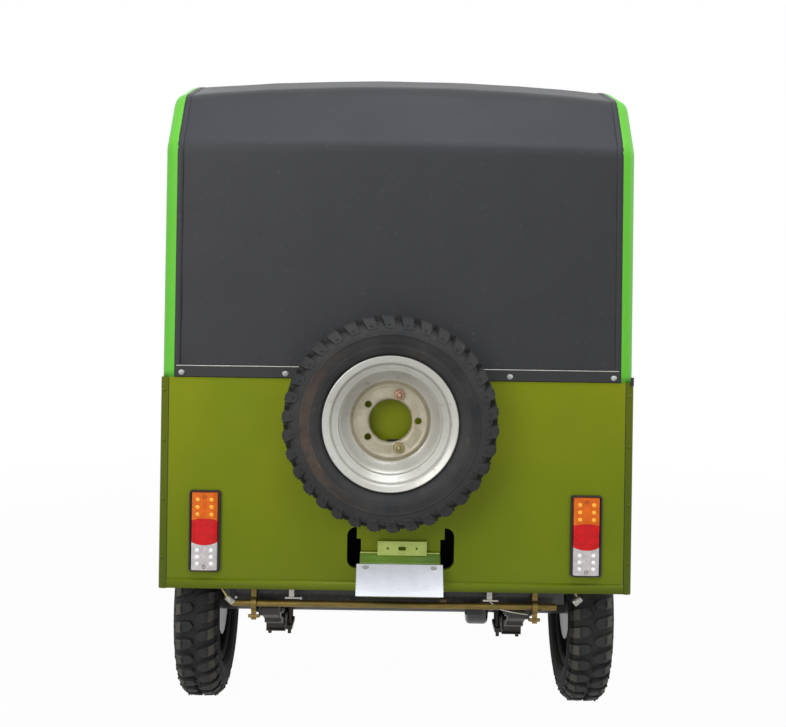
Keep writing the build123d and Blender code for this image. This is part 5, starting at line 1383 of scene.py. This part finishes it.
def headlamps():
    # domed glasses with fluting and chrome rims; domed indicators with rings
    middle, y, z, radius, dome = 0.3002, 1.2500, 0.785, 0.0710, 0.0155
    glass = [(0.0, dome), (0.0200, 0.0148), (0.0400, 0.0124), (0.0560, 0.0084),
             (0.0660, 0.0040), (radius, 0.0), (0.0, -0.0004)]
    bm = bmesh.new()
    for at in (-middle, middle):
        addLathe(bm, glass, 64, (at, y, z), (0, 1, 0))
        for k in range(-7, 8):
            x = k * 0.0082
            high, swell = math.sqrt(0.0600 ** 2 - x ** 2) * 0.62, dome * (1 - (x / radius) ** 2)
            start = (at + x - 0.0012, y + 0.0002 + swell * 0.35, z - high)
            end = (at + x + 0.0012, y + 0.0002 + swell, z + high)
            addSlab(bm, start, end, 0.0006, 1)
    piece("headlampGlass", bm, "body", finish="clearLens", replaces=("headlamp_lenses",))
    rim = [(0.0712, -0.002), (0.0712, 0.0030), (0.0735, 0.0056), (0.0765, 0.0050), (0.0785, 0.0020), (0.0785, -0.002)]
    bm = bmesh.new()
    for at in (-middle, middle):
        addLathe(bm, rim, 64, (at, y + 0.0100, z), (0, 1, 0), closed=True)
        addScrew(bm, (at, y + 0.0150, z - 0.0745), (0, 1, 0), 0.0030)
    piece("headlampRims", bm, "body", finish="chromeTrim")
    small = [(0.0, 0.0120), (0.0060, 0.0116), (0.0130, 0.0092), (0.0175, 0.0056), (0.0198, 0.0), (0.0, -0.0004)]
    bm = bmesh.new()
    for side in (-1, 1):
        place = (side * 0.4802, 1.0310, 0.850)
        addLathe(bm, small, 40, place, (0, 1, 0))
        for radius in (0.007, 0.012, 0.0165):
            inner, outer = radius - 0.0008, radius + 0.0008
            ring = [(inner, 0.002), (inner, 0.0128 - radius * 0.40), (outer, 0.0128 - radius * 0.42), (outer, 0.002)]
            addLathe(bm, ring, 32, place, (0, 1, 0), closed=True)
    piece("indicatorGlass", bm, "body", finish="amberLens", replaces=("indicator_lenses",))


def windscreen():
    # a rubber seal round the glass, a wiper blade on its arm, and hold-down clips for the canopy's front edge
    foot, top, cut = Vector((0.4995, 1.0010, 1.0140)), Vector((0.5220, 0.8490, 1.6230)), 0.03
    rake = math.radians(15)
    lean = Vector((0, math.cos(rake), math.sin(rake)))
    bm = bmesh.new()
    for off in (0.0065, -0.0065):
        corners = [Vector((foot.x - cut, foot.y, foot.z)), Vector((foot.x, foot.y, foot.z + cut)),
                   Vector((top.x, top.y, top.z - cut)), Vector((top.x - cut, top.y, top.z))]
        loop = corners + [Vector((-c.x, c.y, c.z)) for c in corners[::-1]]
        addBar(bm, [point + lean * off for point in loop + loop[:1]], 0.0052, smooth=False, sides=3)
    piece("screenSeal", bm, "body", "black_rubber")

    # the blade lies along the arm's end, on the glass
    up = Vector((0, -math.sin(rake), math.cos(rake)))
    base = Vector((0, 1.0225, 0.9784))
    arm, turn, slope = 0.330, math.radians(62), math.radians(20)
    tip = (0.150 - arm * math.cos(turn), 0.017 + arm * math.sin(turn))
    run = Vector((-math.sin(slope), math.cos(slope)))

    def onBlade(along, lift):
        return base + Vector((-(tip[0] + run.x * along), 0, 0)) + up * (tip[1] + run.y * along) + lean * lift

    bm = bmesh.new()
    for lift, radius in ((0.0045, 0.0032), (0.0110, 0.0034)):
        addRod(bm, onBlade(-0.17, lift), onBlade(0.17, lift), radius, 12, bevel=0.0006)
    for along in (-0.15, -0.05, 0.05, 0.15):
        addRod(bm, onBlade(along, 0.004), onBlade(along * 0.7, 0.020), 0.0022, 10)
    addRod(bm, onBlade(-0.11, 0.020), onBlade(0.11, 0.020), 0.0030, 12, bevel=0.0006)
    piece("wiperBlade", bm, "body", finish="blackRubber")

    bm = bmesh.new()
    for x in (-0.46, -0.23, 0.0, 0.23, 0.46):
        addSlab(bm, (x - 0.009, 0.8345, 1.672), (x + 0.009, 0.8385, 1.700), 0.0012)
        addScrew(bm, (x, 0.8385, 1.690), (0, 1, 0), 0.0042)
    piece("headerClips", bm, "body", finish="zincSteel")


def dashboard():
    # a round dial, warning lights, rocker switches and the key
    low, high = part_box("dashboard")
    face, level = low.y, (low.z + high.z) / 2
    place, back = (0.0, face, level), (0, -1, 0)
    bezel = [(0.0265, -0.002), (0.0265, 0.0058), (0.0290, 0.0080), (0.0315, 0.0058), (0.0322, -0.002)]
    bm = bmesh.new()
    addLathe(bm, bezel, 56, place, back, closed=True)
    for k in range(4):
        x = 0.075 + 0.030 * k
        addSlab(bm, (x - 0.0115, face - 0.0040, level - 0.015), (x + 0.0115, face + 0.002, level + 0.015), 0.0016)
        addSlab(bm, (x - 0.0085, face - 0.0078, level - 0.0115), (x + 0.0085, face, level + 0.0010), 0.0022)
    piece("dashBezels", bm, "body", finish="blackPlastic")
    bm = bmesh.new()
    addLathe(bm, [(0.0, 0.0020), (0.0264, 0.0020), (0.0264, -0.001), (0.0, -0.001)], 56, place, back)
    piece("dialFace", bm, "body", finish="dialFace")
    bm = bmesh.new()
    for k in range(13):
        angle = math.radians(-30 + 20 * k)
        x, z = 0.0222 * math.cos(angle), level + 0.0222 * math.sin(angle)
        start, end = (x - 0.0020, face - 0.0026, z - 0.0004), (x + 0.0020, face - 0.0016, z + 0.0004)
        addSlab(bm, start, end, 0, turn=Matrix.Rotation(-angle, 3, "Y"))
    piece("dialMarks", bm, "body", finish="blackPlastic")
    bm = bmesh.new()
    needle = Matrix.Rotation(math.radians(-58), 3, "Y")
    addSlab(bm, (-0.0012, face - 0.0034, level - 0.0060), (0.0012, face - 0.0026, level + 0.0190), 0, turn=needle)
    addLathe(bm, [(0.0, 0.0046), (0.0034, 0.0040), (0.0040, 0.0014), (0.0, 0.0014)], 24, place, back)
    light = [(0.0, 0.0034), (0.0034, 0.0026), (0.0046, 0.0), (0.0, -0.001)]
    for x in (-0.050, -0.066):
        addLathe(bm, light, 24, (x, face, level + 0.006), back)
    piece("dialNeedle", bm, "body", finish="signalRed")
    barrel = [(0.0, 0.0060), (0.0078, 0.0060), (0.0098, 0.0040), (0.0110, -0.001), (0.0, -0.001)]
    bm = bmesh.new()
    addLathe(bm, barrel, 32, (-0.100, face, level), back)
    addSlab(bm, (-0.1010, face - 0.0068, level - 0.0046), (-0.0990, face - 0.0052, level + 0.0046), 0)
    piece("keyBarrel", bm, "body", finish="chromeTrim")


def steeringTrim():
    # everything here turns with the fork: ribbed grips, lever knobs, boots, switch pods and clamp bolts
    joint = next(j for j in frame["record"]["behaviour"]["joints"] if j["name"] == "steering")
    place, axis = joint["pos_m"], joint["axis"]
    tilt = Matrix.Rotation(math.atan2(-axis[1], axis[2]), 3, "X")

    def fit(bm):
        moved(bm, bm.verts[:], place, tilt)
        return bm

    # grips: a rubber sleeve with a flange and twenty fine rings
    top, back, half = 0.846, 0.070, 0.345
    profile = [(0.0, -0.0645), (0.0140, -0.0645), (0.0166, -0.0625), (0.0172, -0.0590)]
    for k in range(20):
        z = -0.0560 + 0.0053 * k
        profile += [(0.0172, z), (0.0160, z + 0.0010), (0.0160, z + 0.0036), (0.0172, z + 0.0046)]
    profile += [(0.0172, 0.0520), (0.0230, 0.0545), (0.0236, 0.0580), (0.0225, 0.0610), (0.0125, 0.0618), (0.0, 0.0618)]
    start = Vector((-half, -back, top))
    run = (Vector((-half / 2, -0.011, top + 0.011)) - start).normalized()
    middle = start + run * (0.0625 - 0.011)
    bm = bmesh.new()
    addLathe(bm, profile, 28, middle, run)
    mirrored(bm)
    piece("ribbedGrips", fit(bm), "steering", "black_rubber", replaces=("handlebar_grips",), sharp=50)

    # bellows over the fork's sliders
    bm = bmesh.new()
    bellows = [(0.0205, 0.148), (0.0250, 0.148), (0.0250, 0.154)]
    for k in range(7):
        z = 0.156 + 0.0100 * k
        bellows += [(0.0228, z), (0.0268, z + 0.0032), (0.0268, z + 0.0052), (0.0228, z + 0.0084)]
    bellows += [(0.0236, 0.228), (0.0236, 0.234), (0.0205, 0.234)]
    for side in (-1, 1):
        addLathe(bm, bellows, 32, (side * 0.098, 0.045, 0), closed=True)
    piece("forkBoots", fit(bm), "steering", finish="blackRubber")

    # clamp bolts over the stem's top, and lever pivots
    bm = bmesh.new()
    for x in (-0.024, 0.024):
        for y in (-0.032, 0.010):
            addNut(bm, (x, y, 0.8565), (0, 0, 1), 0.012, 0.006, 0.0034, 0.0078)
    for side in (-1, 1):
        addNut(bm, (side * 0.195, 0.017, 0.8510), (0, 0, 1), 0.011, 0.005, 0.003, 0.0075)
    piece("barBolts", fit(bm), "steering", finish="zincSteel")
    bm = bmesh.new()
    for x in (-0.212, 0.212):
        addSlab(bm, (x - 0.016, -0.052, 0.828), (x + 0.016, -0.010, 0.866), 0.006, 3)
        addSlab(bm, (x - 0.010, -0.060, 0.850), (x + 0.010, -0.050, 0.860), 0.002)
    piece("switchPods", fit(bm), "steering", finish="blackPlastic")
    bm = bmesh.new()
    knob = [(0.0, 0.008), (0.0052, 0.0062), (0.0074, 0.0), (0.0052, -0.0062), (0.0, -0.008)]
    for side in (-1, 1):
        addLathe(bm, knob, 24, (side * half, -0.018, top), (side, 0, 0))
    piece("leverKnobs", fit(bm), "steering", finish="chromeTrim")


def wheelHubs():
    # hub caps, wheel nuts and washers on the drums, and axle nuts on the front fork
    height, rearY, frontY = 0.2685, -0.8875, 1.1615

    def wheelNuts(name, body, x, y, side):
        bm = bmesh.new()
        for k in range(wheel["bolts"]):
            angle = 2 * math.pi * k / wheel["bolts"] + math.pi / 2
            at = (x, y + wheel["boltCircle"] * math.cos(angle), height + wheel["boltCircle"] * math.sin(angle))
            addNut(bm, at, (side, 0, 0), 0.0185, 0.012, 0.0058, 0.0125)
        piece("wheelNuts" + name, bm, body, finish="zincSteel")

    cap = [(0.0250, -0.004), (0.0262, 0.0), (0.0240, 0.0052), (0.0160, 0.0074), (0.0, 0.0080), (0.0, -0.004)]
    for name, side in (("Left", -1), ("Right", 1)):
        body = "rear_wheel_" + name.lower()
        low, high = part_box("drum_rear_" + name.lower())
        face = low.x if side < 0 else high.x
        wheelNuts(name, body, side * 0.5682, rearY, side)
        bm = bmesh.new()
        addLathe(bm, cap, 48, (face - side * 0.0082, rearY, height), (side, 0, 0))
        piece("hubCap" + name, bm, body, finish="chromeTrim")
    bm = bmesh.new()
    for side in (-1, 1):
        addNut(bm, (side * 0.1215, frontY, height), (side, 0, 0), 0.022, 0.010, 0.0070, 0.0150)
    piece("axleNuts", bm, "steering", finish="zincSteel")
    wheelNuts("Front", "front_wheel", -0.0345, frontY, -1)


def cowlTrim():
    # a rubber bead under the windscreen
    bm = bmesh.new()
    addBar(bm, [(-0.500, 1.0375, 0.9775), (0.500, 1.0375, 0.9775)], 0.0046, smooth=False, sides=4)
    piece("cowlBead", bm, "body", "black_rubber")


headlamps()
windscreen()
dashboard()
steeringTrim()
wheelHubs()
cowlTrim()
print("front fitted")
